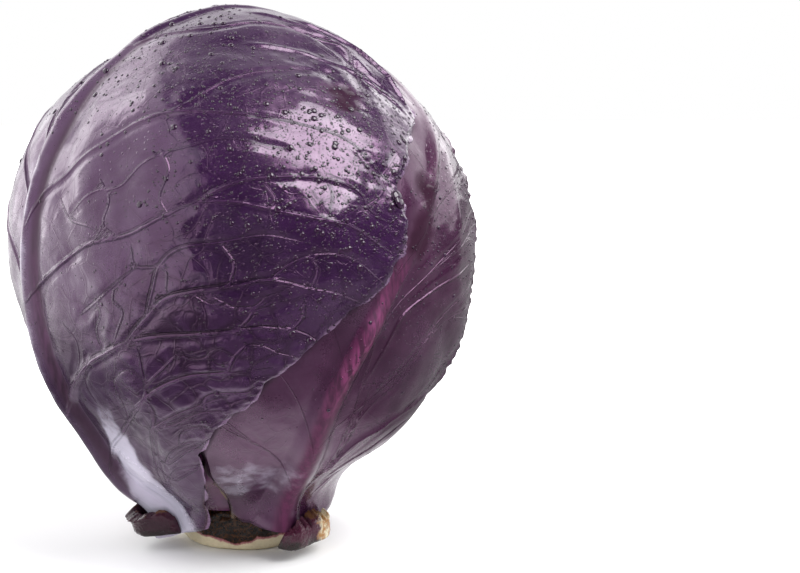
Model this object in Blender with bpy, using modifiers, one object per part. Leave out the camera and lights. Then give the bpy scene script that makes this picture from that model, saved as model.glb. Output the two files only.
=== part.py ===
"""A red cabbage that stands on its cut stump: the packed inner head, four wrapper leaves that
close over each other, the stump, and the cut bases of older leaves round it.

The origin is the centre of the stump's cut face, and +Z runs up the head's axis.
"""

import math

import bmesh
import bpy
import numpy as np

MM = 0.001

# Half of the head's outer outline, from the crown down to the neck: radius and height in mm.
OUTLINE = ((0, 169), (33, 159.5), (57.5, 142.5), (71, 121), (75.3, 97), (72.5, 71), (64.2, 52), (48.3, 33),
           (30.0, 18), (24.6, 3))
OUTLINE_STEPS = 40
# Polar angle that the foot of the outline stands for; the crown is 0.
FOOT_POLAR = 165.0
# The head isn't quite round: its crown and its neck lean left, each most at one polar angle and less
# within a spread of it, and broad flats run round it, which end before the neck.
CROWN_LEAN = {"height": 1.5 * MM, "polar": 45, "spread": 26}
NECK_LEAN = {"height": 4.2 * MM, "polar": 147, "spread": 10}
FLATS = {"three": 0.8 * MM, "five": 0.5 * MM, "turned": 1.1, "ends": (125, 150)}
# A long crease runs down the front right: its azimuth at the polar angle of the leaves' middles and
# what that gains with each degree down, its half width, depth, and where it starts and ends.
CREASE = {"azimuth": 38, "gain": 0.10, "half_width": 9, "depth": 1.9 * MM,
          "starts": (52, 66), "ends": (88, 108)}

# A leaf's blade, the room between one leaf and the next, and how far a leaf's flat facets
# may dip below the round surface that their corners lie on.
BLADE = 1.1 * MM
LEAF_GAP = 0.6 * MM
FACET_DIP = 0.5 * MM
# Over these polar angles the blade thickens into the leaf's foot, and the gap widens at the neck.
FOOT_BLADE = 2.2 * MM
BLADE_THICKENS = (140, 162)
FOOT_GAP = 1.6 * MM
GAP_WIDENS = (130, 150)
# How far inside the outline the innermost wrapper leaf lies, over the head and at the neck,
# where the leaves are narrow and fewer lie over each other, and the inner head's depth under it.
WRAPPER_DEPTH = 6.3 * MM
NECK_DEPTH = 3.0 * MM
NECK_POLAR = (105, 150)
HEAD_GAP = 0.9 * MM

# A leaf stays raised until this far past the edge of the one beneath, and then comes down.
COVER_FULL = 7 * MM
COVER_ENDS = 24 * MM
# Veins and lifted edges are pressed flat until this far past the edge of a leaf that lies over them.
PRESSED_INSIDE = 11 * MM
PRESSED_ENDS = 24 * MM
EDGE_STEPS = 144

# The midrib's half width at the leaf's foot and tip, the power of its share by which it narrows, the
# share of its width that is its flat crest, its height at the tip and the power by which it lowers.
RIB_HALF_WIDTH = (12.5 * MM, 3 * MM)
RIB_NARROWS = 0.6
RIB_CREST = 0.12
RIB_TIP_HEIGHT = 0.6 * MM
RIB_LOWERS = 0.7
RIB_FADES = (0.9, 1.0)
# A side vein's half width and height where it leaves the midrib and at the leaf's edge, the power by
# which it lowers, and the share of the midrib over which the veins rise from the leaf's foot.
VEIN_HALF_WIDTH = (5.0 * MM, 2.4 * MM)
VEIN_HEIGHT = (1.9 * MM, 0.3 * MM)
VEIN_LOWERS = 0.8
VEINS_RISE = (0.0, 0.05)
VEIN_FOOT = 0.021
# A side vein leaves the midrib this many degrees steeper than the straight way to its end, and bends
# at this share of its length.
VEIN_STEEPER = 25
VEIN_BEND = 0.67
# The widest step between a leaf's rows, as a share of the midrib, and the rows that close on the tip.
ROW_STEP = 0.055
TIP_ROWS = (0.92, 0.96, 1.0)
TIP_CLOSES = (0.93, 1.0)
# A row's end runs round the leaf's edge by this power of its share of the midrib, in steps no
# wider than this.
EDGE_SPREAD = 0.6
EDGE_STEP = 0.065
# Share of the way out to the edge at which the midrib has its foot.
RIB_FOOT = 0.05
# Waves of the leaf's outline: how many go round it, and how far each swings as a share of the reach.
EDGE_WAVES = ((9, 0.010), (23, 0.006))
# The leaf's edge curls off the leaf beneath in waves, over the outer share of the way out.
EDGE_LIFT = 0.9 * MM
LIFT_WAVES = 40
LIFT_SHIFT = 2.2
LIFT_STARTS = 0.84
LIFT_RISES = (0.06, 0.2)

# Half of the stump's outline, from its top to its cut face: radius and height in mm.
STUMP_OUTLINE = ((0, 13.4), (20.2, 13.4), (20.9, 12.6), (20.9, 7), (20.4, 4.0), (19.6, 1.1),
                 (18.8, 0), (0, 0))
STUMP_SIDES = 44
# How far the stump is from round: lobes round it, each lobe's swing as a share of the radius, and its turn.
STUMP_LOBES = ((3, 0.018, 0.6), (7, 0.009, 0.0))
HEAD_FLOOR = 14.0 * MM
HEAD_SEGMENTS = 48
HEAD_RINGS = 26

# The cut bases lie clear of the leaves by a gap. Shares of their thickness are lost at their sides and
# top, a share of their width at the top, and a share of their height at the sides, with a torn wave.
CUT_BASE_GAP = 1.6 * MM
CUT_BASE_THICK = 5.0 * MM
CUT_BASE_COVER = (3.0 * MM, 8.0 * MM)
CUT_BASE_LOST = {"sides": 0.70, "top": 0.2, "width": 0.12, "corners": 0.35, "torn": 0.10, "waves": 9}

# Each wrapper leaf, outermost first. Azimuth 0 faces the front and turns towards the right.
# An outline is the leaf's reach in degrees round its middle, anticlockwise from its right foot
# (-90 points at the stump, 90 at the crown). The midrib is its sideways place at each height.
LEAF_MIDDLE = 80
LEAVES = (
    {
        "name": "leaf_front_left",
        "azimuth": -67,
        "tip": 90,
        "outline": ((-78, 85), (-70, 80), (-57, 74), (-44, 69.5), (-25, 74), (-5, 89),
                    (10, 103), (30, 105), (55, 112), (90, 99), (125, 100), (150, 92),
                    (175, 84), (205, 72), (232, 70), (247, 78), (257, 85.5)),
        "midrib": ((-84, 0), (98, 0)),
        "rib": 6.0 * MM,
        "veins": (0.10, 0.22, 0.375, 0.49, 0.60, 0.69, 0.775, 0.85),
        "columns": 10,
        "colour": (0.105, 0.022, 0.075),
    },
    {
        "name": "leaf_front_right",
        "azimuth": 38,
        "tip": 70,
        "outline": ((-76, 81.5), (-66, 74), (-50, 61), (-28, 48.5), (0, 50), (25, 58), (45, 68), (70, 86),
                    (95, 86), (120, 80), (150, 72), (180, 65), (208, 66), (230, 72), (245, 79), (254, 83.5)),
        "midrib": ((-79.5, -9), (-28, -13), (0, 6), (30, 29), (82, 29)),
        "rib": 4.2 * MM,
        "veins": (0.09, 0.20, 0.33, 0.46, 0.58, 0.70, 0.82),
        "columns": 8,
        "colour": (0.130, 0.020, 0.080),
    },
    {
        "name": "leaf_back",
        "azimuth": 168,
        "tip": 95,
        "outline": ((-76, 86.5), (-64, 77), (-48, 70), (-25, 80), (0, 95), (30, 98), (60, 95), (95, 88),
                    (120, 78), (150, 84), (178, 97), (205, 82), (230, 71), (245, 78), (256, 86.5)),
        "midrib": ((-84, 0), (0, 3), (88, -7)),
        "rib": 5.2 * MM,
        "veins": (0.10, 0.22, 0.36, 0.49, 0.61, 0.73, 0.83),
        "columns": 9,
        "colour": (0.115, 0.024, 0.085),
    },
    {
        "name": "leaf_back_right",
        "azimuth": 90,
        "tip": 88,
        "outline": ((-76, 86), (-64, 77), (-45, 70), (-20, 84), (10, 98), (45, 98), (88, 92),
                    (130, 95), (170, 96), (200, 84), (230, 71), (245, 78), (256, 86)),
        "midrib": ((-84, 0), (92, 3)),
        "rib": 2.6 * MM,
        "veins": (0.14, 0.33, 0.55, 0.76),
        "columns": 9,
        "colour": (0.100, 0.020, 0.070),
    },
)

# The cut bases of older leaves: azimuth, half width, polar angles of foot and top, lean of the top.
CUT_BASES = (
    {"azimuth": -74, "half_width": 25, "foot": 162.6, "top": 154.5, "lean": 2.0 * MM},
    {"azimuth": 38, "half_width": 20, "foot": 162.8, "top": 155.5, "lean": 0.8 * MM},
    {"azimuth": 152, "half_width": 25, "foot": 162.4, "top": 155.0, "lean": 1.0 * MM},
    {"azimuth": -139, "half_width": 27, "foot": 162.8, "top": 156.0, "lean": 1.4 * MM},
)
CUT_BASE_COLUMNS = 11
CUT_BASE_ROWS = 5


def smooth(low, high, value):
    """0 below low, 1 above high, and an easy curve between."""
    share = np.clip((value - low) / (high - low), 0.0, 1.0)
    return share * share * (3.0 - 2.0 * share)


def through(knots, value):
    """A smooth curve through (place, height) knots, read at the given places."""
    places, heights = np.array(knots, float).T
    slopes = np.gradient(heights, places)
    value = np.clip(value, places[0], places[-1])
    left = np.clip(np.searchsorted(places, value, side="right") - 1, 0, len(places) - 2)
    width = places[left + 1] - places[left]
    s = (value - places[left]) / width
    return ((1 + 2 * s) * (1 - s) ** 2 * heights[left] + s * (1 - s) ** 2 * width * slopes[left]
            + s * s * (3 - 2 * s) * heights[left + 1] + s * s * (s - 1) * width * slopes[left + 1])


def head_form():
    """The outline as a fine curve: polar angle, radius, height and outward direction at each point."""
    points = np.array(OUTLINE, float) * MM
    crown_twin = points[1] * (-1, 1)
    past_foot = 2 * points[-1] - points[-2]
    points = np.vstack([crown_twin, points, past_foot])
    curve = []
    for before, start, end, after in zip(points, points[1:], points[2:], points[3:]):
        for s in np.arange(OUTLINE_STEPS) / OUTLINE_STEPS:
            curve.append(0.5 * (2 * start + (end - before) * s
                                + (2 * before - 5 * start + 4 * end - after) * s ** 2
                                + (3 * start - before - 3 * end + after) * s ** 3))
    curve = np.array(curve + [points[-2]])
    run = np.concatenate([[0.0], np.cumsum(np.hypot(*np.diff(curve, axis=0).T))])
    along = np.gradient(curve, run, axis=0)
    along /= np.linalg.norm(along, axis=1)[:, None]
    polar = run / run[-1] * FOOT_POLAR
    return polar, curve[:, 0], curve[:, 1], -along[:, 1], along[:, 0], run[-1] / FOOT_POLAR


FORM_POLAR, FORM_RADIUS, FORM_HEIGHT, FORM_OUT, FORM_UP, PER_DEGREE = head_form()


def on_form(polar, azimuth, lift):
    """Points over the outline surface at a polar angle and azimuth in degrees, lifted along its normal."""
    radius = np.interp(polar, FORM_POLAR, FORM_RADIUS) + lift * np.interp(polar, FORM_POLAR, FORM_OUT)
    height = np.interp(polar, FORM_POLAR, FORM_HEIGHT) + lift * np.interp(polar, FORM_POLAR, FORM_UP)
    turn = np.radians(azimuth)
    return np.stack([radius * np.sin(turn), -radius * np.cos(turn), height], axis=-1)


def leaf_axes(leaf):
    """Directions from the leaf's middle: outwards, to its right and up to the crown."""
    turn, tilt = math.radians(leaf["azimuth"]), math.radians(LEAF_MIDDLE)
    outwards = np.array([math.sin(tilt) * math.sin(turn), -math.sin(tilt) * math.cos(turn), math.cos(tilt)])
    right = np.array([math.cos(turn), math.sin(turn), 0.0])
    return outwards, right, np.cross(outwards, right)


def leaf_to_form(leaf, x, y):
    """Polar angle and azimuth of a point given in degrees across and up the flattened leaf."""
    outwards, right, up = leaf_axes(leaf)
    reach = np.radians(np.hypot(x, y))[..., None]
    turn = np.arctan2(y, x)[..., None]
    way = np.cos(reach) * outwards + np.sin(reach) * (np.cos(turn) * right + np.sin(turn) * up)
    polar = np.degrees(np.arccos(np.clip(way[..., 2], -1, 1)))
    return polar, np.degrees(np.arctan2(way[..., 0], -way[..., 1]))


def form_to_leaf(leaf, polar, azimuth):
    """Degrees across and up the flattened leaf for a polar angle and azimuth."""
    outwards, right, up = leaf_axes(leaf)
    tilt, turn = np.radians(polar), np.radians(azimuth)
    way = np.stack([np.sin(tilt) * np.sin(turn), -np.sin(tilt) * np.cos(turn), np.cos(tilt)], axis=-1)
    reach = np.degrees(np.arccos(np.clip(way @ outwards, -1, 1)))
    angle = np.arctan2(way @ up, way @ right)
    return reach * np.cos(angle), reach * np.sin(angle)


def leaf_reach(leaf, angle):
    """How far the leaf reaches from its middle at an angle, in degrees, with its wavy edge."""
    knots = leaf["outline"]
    ring = knots + ((knots[0][0] + 360, knots[0][1]),)
    angle = (angle - knots[0][0]) % 360 + knots[0][0]
    wavy = 1 + sum(swing * np.sin(np.radians(waves * angle)) for waves, swing in EDGE_WAVES)
    return through(ring, angle) * wavy


def past_edge(leaf, polar, azimuth):
    """How far a point lies past the leaf's edge in metres, less than 0 inside it."""
    x, y = form_to_leaf(leaf, polar, azimuth)
    ring_angles = np.linspace(-180, 180, EDGE_STEPS + 1)
    ring = leaf_reach(leaf, ring_angles)[:, None] * np.stack(
        [np.cos(np.radians(ring_angles)), np.sin(np.radians(ring_angles))], axis=-1)
    starts, runs = ring[:-1], np.diff(ring, axis=0)
    from_start = np.stack([x, y], axis=-1)[..., None, :] - starts
    share = np.clip((from_start * runs).sum(-1) / (runs * runs).sum(-1), 0, 1)
    nearest = np.linalg.norm(from_start - share[..., None] * runs, axis=-1).min(axis=-1)
    inside = np.hypot(x, y) < leaf_reach(leaf, np.degrees(np.arctan2(y, x)))
    return np.where(inside, -nearest, nearest) * PER_DEGREE


def swell(polar, azimuth):
    """The head's own unevenness, which every leaf and the inner head share."""
    turn, tilt = np.radians(azimuth), np.radians(polar)
    lean = sum(one["height"] * np.exp(-((polar - one["polar"]) / one["spread"]) ** 2)
               for one in (CROWN_LEAN, NECK_LEAN))
    flats = FLATS["three"] * np.sin(3 * turn + FLATS["turned"]) + FLATS["five"] * np.sin(5 * turn - 2 * tilt)
    flats = flats * np.sin(tilt) ** 2 * (1 - smooth(*FLATS["ends"], polar))
    middle = CREASE["azimuth"] + CREASE["gain"] * (polar - LEAF_MIDDLE)
    across = ((azimuth - middle + 180) % 360 - 180) / CREASE["half_width"]
    length = smooth(*CREASE["starts"], polar) * (1 - smooth(*CREASE["ends"], polar))
    return flats - lean * np.sin(turn) - CREASE["depth"] * np.exp(-across ** 2) * length


def wrapper_depth(polar):
    """Depth of the innermost wrapper leaf's bed inside the outline."""
    return WRAPPER_DEPTH + (NECK_DEPTH - WRAPPER_DEPTH) * smooth(*NECK_POLAR, polar)


def blade_thickness(polar):
    """The blade thickens into the fleshy foot of the leaf."""
    return BLADE + (FOOT_BLADE - BLADE) * smooth(*BLADE_THICKENS, polar)


def leaf_gap(polar):
    """Room over a leaf, wider at the neck, where the surface curves more."""
    return LEAF_GAP + (FOOT_GAP - LEAF_GAP) * smooth(*GAP_WIDENS, polar)


def leaf_bed(order, polar, azimuth):
    """Height of a leaf's inner face over the outline surface, on top of the leaves beneath it."""
    bed = FACET_DIP - wrapper_depth(polar) + swell(polar, azimuth)
    for beneath in LEAVES[order + 1:]:
        covered = 1 - smooth(COVER_FULL, COVER_ENDS, past_edge(beneath, polar, azimuth))
        bed = bed + (blade_thickness(polar) + leaf_gap(polar) + FACET_DIP) * covered
    return bed


def left_bare(order, polar, azimuth):
    """1 where no leaf lies over this one, 0 where one does."""
    bare = np.ones_like(polar)
    for above in LEAVES[:order]:
        bare = bare * smooth(PRESSED_INSIDE, PRESSED_ENDS, past_edge(above, polar, azimuth))
    return bare


def midrib_relief(leaf, x, y):
    """Height of the midrib over the blade at a point of the flattened leaf."""
    foot, tip = leaf["midrib"][0][0], leaf["midrib"][-1][0]
    share = np.clip((y - foot) / (tip - foot), 0, 1)
    half_width = RIB_HALF_WIDTH[0] + (RIB_HALF_WIDTH[1] - RIB_HALF_WIDTH[0]) * share ** RIB_NARROWS
    height = leaf["rib"] + (RIB_TIP_HEIGHT - leaf["rib"]) * share ** RIB_LOWERS
    across = np.abs(x - through(leaf["midrib"], y)) * PER_DEGREE
    return height * (1 - smooth(RIB_CREST, 1.0, across / half_width)) * (1 - smooth(*RIB_FADES, share))


def leaf_plan(leaf, t, b):
    """Flat place of the point a share t up the midrib and b out along the side vein there, left below 0."""
    side = np.where(b < 0, -1.0, 1.0)
    foot, tip = leaf["midrib"][0][0], leaf["midrib"][-1][0]
    right_foot, left_foot = leaf["outline"][0][0], leaf["outline"][-1][0]
    foot_angle = np.where(b < 0, left_foot, right_foot)
    edge_angle = foot_angle + (leaf["tip"] - foot_angle) * t ** EDGE_SPREAD
    reach = leaf_reach(leaf, edge_angle)
    edge_x = reach * np.cos(np.radians(edge_angle)) * side
    edge_y = reach * np.sin(np.radians(edge_angle))
    rib_y = foot + (tip - foot) * t
    rib_x = through(leaf["midrib"], rib_y) * side
    closing = smooth(*TIP_CLOSES, t)
    rib_x, rib_y = rib_x + (edge_x - rib_x) * closing, rib_y + (edge_y - rib_y) * closing
    bend = VEIN_BEND * np.hypot(edge_x - rib_x, edge_y - rib_y)
    steeper = math.radians(VEIN_STEEPER) * np.sqrt(np.abs(np.sin(math.pi * t)))
    heading = np.arctan2(edge_y - rib_y, edge_x - rib_x) + steeper
    bend_x, bend_y = rib_x + bend * np.cos(heading), rib_y + bend * np.sin(heading)
    out = np.abs(b)
    x = (1 - out) ** 2 * rib_x + 2 * out * (1 - out) * bend_x + out ** 2 * edge_x
    y = (1 - out) ** 2 * rib_y + 2 * out * (1 - out) * bend_y + out ** 2 * edge_y
    return x * side, y


def vein_relief(leaf, t, b, x, y):
    """Height of the side veins over the blade."""
    out = np.abs(b)
    relief = np.zeros_like(x)
    for vein in leaf["veins"]:
        vein_x, vein_y = leaf_plan(leaf, np.full_like(t, vein), b)
        across = np.hypot(x - vein_x, y - vein_y) * PER_DEGREE
        half_width = VEIN_HALF_WIDTH[0] + (VEIN_HALF_WIDTH[1] - VEIN_HALF_WIDTH[0]) * out
        height = VEIN_HEIGHT[0] + (VEIN_HEIGHT[1] - VEIN_HEIGHT[0]) * out ** VEIN_LOWERS
        relief = np.maximum(relief, height * (1 - smooth(0.0, 1.0, across / half_width)))
    return relief * smooth(*VEINS_RISE, t)


def leaf_rows(leaf):
    """Shares of the midrib at which the leaf has a row: each side vein's crest and feet, and between."""
    marks = [0.0, *TIP_ROWS]
    for vein in leaf["veins"]:
        marks += [vein - VEIN_FOOT, vein, vein + VEIN_FOOT]
    marks.sort()
    rows = []
    for low, high in zip(marks, marks[1:]):
        edge_low, edge_high = low ** EDGE_SPREAD, high ** EDGE_SPREAD
        parts = math.ceil(max((high - low) / ROW_STEP, (edge_high - edge_low) / EDGE_STEP))
        edge_step = (edge_high - edge_low) / parts
        rows += [(edge_low + edge_step * part) ** (1 / EDGE_SPREAD) for part in range(parts)]
    return rows + [1.0]


def closed_plate(name, rows, columns, inner, outer):
    """A closed plate: a flat grid split into triangles, doubled, and laid on its inner and outer places."""
    form = bmesh.new()
    bmesh.ops.create_grid(form, x_segments=len(columns) - 1, y_segments=len(rows) - 1, size=0.5)
    bmesh.ops.triangulate(form, faces=form.faces)
    row_of, column_of = np.array(rows), np.array(columns)
    spots = [((v.co.y + 0.5) * (len(rows) - 1), (v.co.x + 0.5) * (len(columns) - 1)) for v in form.verts]
    t = row_of[[round(spot[0]) for spot in spots]]
    b = column_of[[round(spot[1]) for spot in spots]]
    flat = list(form.verts)
    place = {vert: index for index, vert in enumerate(flat)}
    doubled = bmesh.ops.extrude_face_region(form, geom=list(form.faces), use_keep_orig=True)
    raised = [item for item in doubled["geom"] if isinstance(item, bmesh.types.BMVert)]
    twin = {tuple(round(c, 6) for c in vert.co): place[vert] for vert in flat}
    inner_places, outer_places = inner(t, b), outer(t, b)
    for vert in raised:
        vert.co = outer_places[twin[tuple(round(c, 6) for c in vert.co)]]
    for vert in flat:
        vert.co = inner_places[place[vert]]
    bmesh.ops.remove_doubles(form, verts=form.verts, dist=0.02 * MM)
    bmesh.ops.recalc_face_normals(form, faces=form.faces)
    mesh = bpy.data.meshes.new(name)
    form.to_mesh(mesh)
    form.free()
    mesh.shade_smooth()
    return mesh


def skin(name, colour, roughness):
    """A plain finish in the piece's own colour."""
    material = bpy.data.materials.new(name)
    material.use_nodes = True
    shader = material.node_tree.nodes["Principled BSDF"]
    shader.inputs["Base Color"].default_value = (*colour, 1.0)
    shader.inputs["Roughness"].default_value = roughness
    shader.inputs["Metallic"].default_value = 0.0
    return material


def add_piece(collection, name, mesh, material):
    piece = bpy.data.objects.new(name, mesh)
    mesh.materials.append(material)
    collection.objects.link(piece)
    return piece


def wrapper_leaf(order):
    """One wrapper leaf, laid over the leaves beneath it, with its veins standing out of its outer face."""
    leaf = LEAVES[order]
    half = [RIB_FOOT] + [step / leaf["columns"] for step in range(1, leaf["columns"] + 1)]
    columns = [-share for share in reversed(half)] + [0.0] + half

    def inner(t, b):
        x, y = leaf_plan(leaf, t, b)
        polar, azimuth = leaf_to_form(leaf, x, y)
        return on_form(polar, azimuth, leaf_bed(order, polar, azimuth) + edge_lift(t, b, polar, azimuth))

    def outer(t, b):
        x, y = leaf_plan(leaf, t, b)
        polar, azimuth = leaf_to_form(leaf, x, y)
        relief = np.maximum(midrib_relief(leaf, x, y), vein_relief(leaf, t, b, x, y))
        lift = relief * left_bare(order, polar, azimuth) + edge_lift(t, b, polar, azimuth)
        return on_form(polar, azimuth, leaf_bed(order, polar, azimuth) + blade_thickness(polar) + lift)

    def edge_lift(t, b, polar, azimuth):
        wave = 0.5 + 0.5 * np.sin(LIFT_WAVES * t + LIFT_SHIFT * np.sign(b) + order)
        share = smooth(LIFT_STARTS, 1.0, np.abs(b)) * smooth(*LIFT_RISES, t)
        return EDGE_LIFT * wave * share * left_bare(order, polar, azimuth)

    return closed_plate(leaf["name"], leaf_rows(leaf), columns, inner, outer)


def covered_height(polar, azimuth):
    """Height of whatever lies outermost at the leaves' feet, which the cut bases lie on."""
    height = swell(polar, azimuth) - wrapper_depth(polar)
    for order, leaf in enumerate(LEAVES):
        x, y = form_to_leaf(leaf, polar, azimuth)
        relief = midrib_relief(leaf, x, y) * left_bare(order, polar, azimuth)
        foot_height = leaf_bed(order, polar, azimuth) + blade_thickness(polar) + relief
        here = 1 - smooth(*CUT_BASE_COVER, past_edge(leaf, polar, azimuth))
        height = np.maximum(height, height + (foot_height - height) * here)
    return height


def cut_base(name, base):
    """A short thick piece of an older leaf's foot, cut or torn off just above the stump."""
    columns = list(np.linspace(-1, 1, CUT_BASE_COLUMNS))
    rows = list(np.linspace(0, 1, CUT_BASE_ROWS))

    lost = CUT_BASE_LOST

    def place(t, b):
        torn = lost["torn"] * np.sin(lost["waves"] * b + base["azimuth"])
        rise = t * (1 - lost["corners"] * b ** 2 + torn)
        polar = base["foot"] + (base["top"] - base["foot"]) * rise
        azimuth = base["azimuth"] + base["half_width"] * b * (1 - lost["width"] * t)
        return polar, azimuth, covered_height(polar, azimuth) + CUT_BASE_GAP + base["lean"] * rise ** 2

    def inner(t, b):
        return on_form(*place(t, b))

    def outer(t, b):
        polar, azimuth, lift = place(t, b)
        thick = CUT_BASE_THICK * (1 - lost["sides"] * b ** 2) * (1 - lost["top"] * t)
        return on_form(polar, azimuth, lift + thick)

    return closed_plate(name, rows, columns, inner, outer)


def inner_head():
    """The packed inner leaves as one body, flat under where the stalk meets it."""
    form = bmesh.new()
    bmesh.ops.create_uvsphere(form, u_segments=HEAD_SEGMENTS, v_segments=HEAD_RINGS, radius=1.0)
    ways = np.array([vert.co.normalized() for vert in form.verts])
    tilt = np.degrees(np.arccos(np.clip(ways[:, 2], -1, 1)))
    last_ring = 180 * (HEAD_RINGS - 1) / HEAD_RINGS
    heights = on_form(FORM_POLAR, np.zeros_like(FORM_POLAR), -wrapper_depth(FORM_POLAR) - HEAD_GAP)[:, 2]
    floor_polar = np.interp(-HEAD_FLOOR, -heights, FORM_POLAR)
    polar = np.minimum(tilt / last_ring, 1.0) * floor_polar
    azimuth = np.degrees(np.arctan2(ways[:, 0], -ways[:, 1]))
    places = on_form(polar, azimuth, swell(polar, azimuth) - wrapper_depth(polar) - HEAD_GAP)
    places[tilt > last_ring + 0.1] = (0, 0, HEAD_FLOOR)
    places[tilt > last_ring - 0.1, 2] = HEAD_FLOOR
    for vert, spot in zip(form.verts, places):
        vert.co = spot
    bmesh.ops.recalc_face_normals(form, faces=form.faces)
    mesh = bpy.data.meshes.new("inner_head")
    form.to_mesh(mesh)
    form.free()
    mesh.shade_smooth()
    return mesh


def stump():
    """The stalk's end: a turned woody disc, narrower at its cut face, and not quite round."""
    half = bpy.data.meshes.new("stump_outline")
    half.from_pydata([(radius * MM, 0, height * MM) for radius, height in STUMP_OUTLINE],
                     [(i, i + 1) for i in range(len(STUMP_OUTLINE) - 1)], [])
    turned = bpy.data.objects.new("stump_outline", half)
    bpy.context.scene.collection.objects.link(turned)
    screw = turned.modifiers.new("turn", "SCREW")
    screw.steps = screw.render_steps = STUMP_SIDES
    screw.use_merge_vertices = True
    screw.merge_threshold = 0.01 * MM
    mesh = bpy.data.meshes.new_from_object(turned.evaluated_get(bpy.context.evaluated_depsgraph_get()))
    bpy.data.objects.remove(turned, do_unlink=True)
    mesh.name = "stump"
    for vert in mesh.vertices:
        turn = math.atan2(vert.co.x, -vert.co.y)
        uneven = 1 + sum(swing * math.sin(lobes * turn + turned) for lobes, swing, turned in STUMP_LOBES)
        vert.co.x *= uneven
        vert.co.y *= uneven
    mesh.shade_smooth()
    mesh.set_sharp_from_angle(angle=math.radians(40))
    return mesh


def build():
    for thing in list(bpy.data.objects):
        bpy.data.objects.remove(thing, do_unlink=True)
    collection = bpy.data.collections.new("red_cabbage")
    bpy.context.scene.collection.children.link(collection)

    add_piece(collection, "stump", stump(), skin("cut_stalk", (0.72, 0.66, 0.42), 0.6))
    add_piece(collection, "inner_head", inner_head(), skin("inner_leaf_skin", (0.14, 0.025, 0.11), 0.4))
    for order, leaf in enumerate(LEAVES):
        material = skin(leaf["name"] + "_skin", leaf["colour"], 0.35)
        add_piece(collection, leaf["name"], wrapper_leaf(order), material)
    for number, base in enumerate(CUT_BASES, start=1):
        name = f"cut_base_{number}"
        add_piece(collection, name, cut_base(name, base), skin(name + "_skin", (0.18, 0.04, 0.09), 0.5))


build()
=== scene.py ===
"""A whole red cabbage, wet from rinsing, that stands on its cut stump on a pale studio floor."""

import math

import bmesh
import bpy
import numpy as np
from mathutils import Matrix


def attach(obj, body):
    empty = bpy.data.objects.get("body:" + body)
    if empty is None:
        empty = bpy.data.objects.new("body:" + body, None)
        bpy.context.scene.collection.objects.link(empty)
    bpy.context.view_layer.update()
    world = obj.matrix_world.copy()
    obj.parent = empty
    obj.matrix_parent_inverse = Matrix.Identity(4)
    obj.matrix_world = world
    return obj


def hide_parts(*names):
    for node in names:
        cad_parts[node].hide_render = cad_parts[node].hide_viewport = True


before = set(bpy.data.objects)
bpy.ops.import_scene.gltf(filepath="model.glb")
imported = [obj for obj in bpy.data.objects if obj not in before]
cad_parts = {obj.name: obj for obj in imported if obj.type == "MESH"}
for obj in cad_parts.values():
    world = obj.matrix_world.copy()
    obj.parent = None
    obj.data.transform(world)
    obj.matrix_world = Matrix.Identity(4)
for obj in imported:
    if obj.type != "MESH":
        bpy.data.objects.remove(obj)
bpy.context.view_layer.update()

# The stump: the end of the stalk, which a knife cut straight across. It is pale and woody inside,
# with a thin purple skin that browns and blackens above the cut, where the old leaves were taken
# off. The head stands on its cut face.
MM = 0.001
# Radii and heights in millimetres.
STUMP_OUTLINE = ((0, 13.4), (20.2, 13.4), (20.9, 12.6), (20.9, 7), (20.4, 4.0), (19.6, 1.1), (18.8, 0),
                 (0, 0))
# Waves round it, their share of the radius and their turn.
STUMP_LOBES = ((3, 0.018, 0.6), (7, 0.009, 0.0))
STUMP_SIDES = 144
STUMP_STEP = 0.9
# The biggest scar of a torn leaf, at the front, reaches down over the cut's edge.
SCAR_LEFT, SCAR_HALF_WIDTH, SCAR_DEPTH = 4.3 * MM, 9 * MM, 2.7 * MM
# A yellower ring round the pith, and the heights where the skin begins, is whole and is burnt black.
RING_RADIUS = 14.2 * MM
SKIN_FROM, SKIN_WHOLE, SKIN_BURNT = 3.6 * MM, 4.3 * MM, 5.0 * MM


def smooth(low, high, value):
    """0 below low, 1 above high, and an easy curve between."""
    share = np.clip((value - low) / (high - low), 0.0, 1.0)
    return share * share * (3.0 - 2.0 * share)


def shaded_mesh(name, places, faces, masks=None, merge=0.01 * MM):
    """A closed mesh from its places, faces and masks, with its faces turned outwards."""
    mesh = bpy.data.meshes.new(name)
    mesh.from_pydata([tuple(place) for place in places], [], faces)
    for mask, values in (masks or {}).items():
        mesh.attributes.new(mask, "FLOAT", "POINT").data.foreach_set("value", values)
    form = bmesh.new()
    form.from_mesh(mesh)
    bmesh.ops.remove_doubles(form, verts=form.verts, dist=merge)
    bmesh.ops.recalc_face_normals(form, faces=form.faces)
    form.to_mesh(mesh)
    form.free()
    mesh.shade_smooth()
    return mesh


def tube_faces(rings, sides):
    """Faces between rings that lie one after another, each with the same number of sides."""
    faces = []
    for ring in range(rings - 1):
        for side in range(sides):
            a, b = ring * sides + side, ring * sides + (side + 1) % sides
            faces.append((a, b, b + sides, a + sides))
    return faces


def new_object(name, data):
    made = bpy.data.objects.new(name, data)
    bpy.context.scene.collection.objects.link(made)
    return made


def place_piece(name, mesh, material, node):
    """Puts a finished piece in the scene in the place of its plain solid."""
    mesh.materials.append(material)
    piece = new_object(name, mesh)
    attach(piece, "root")
    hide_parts(node)
    return piece


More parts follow.
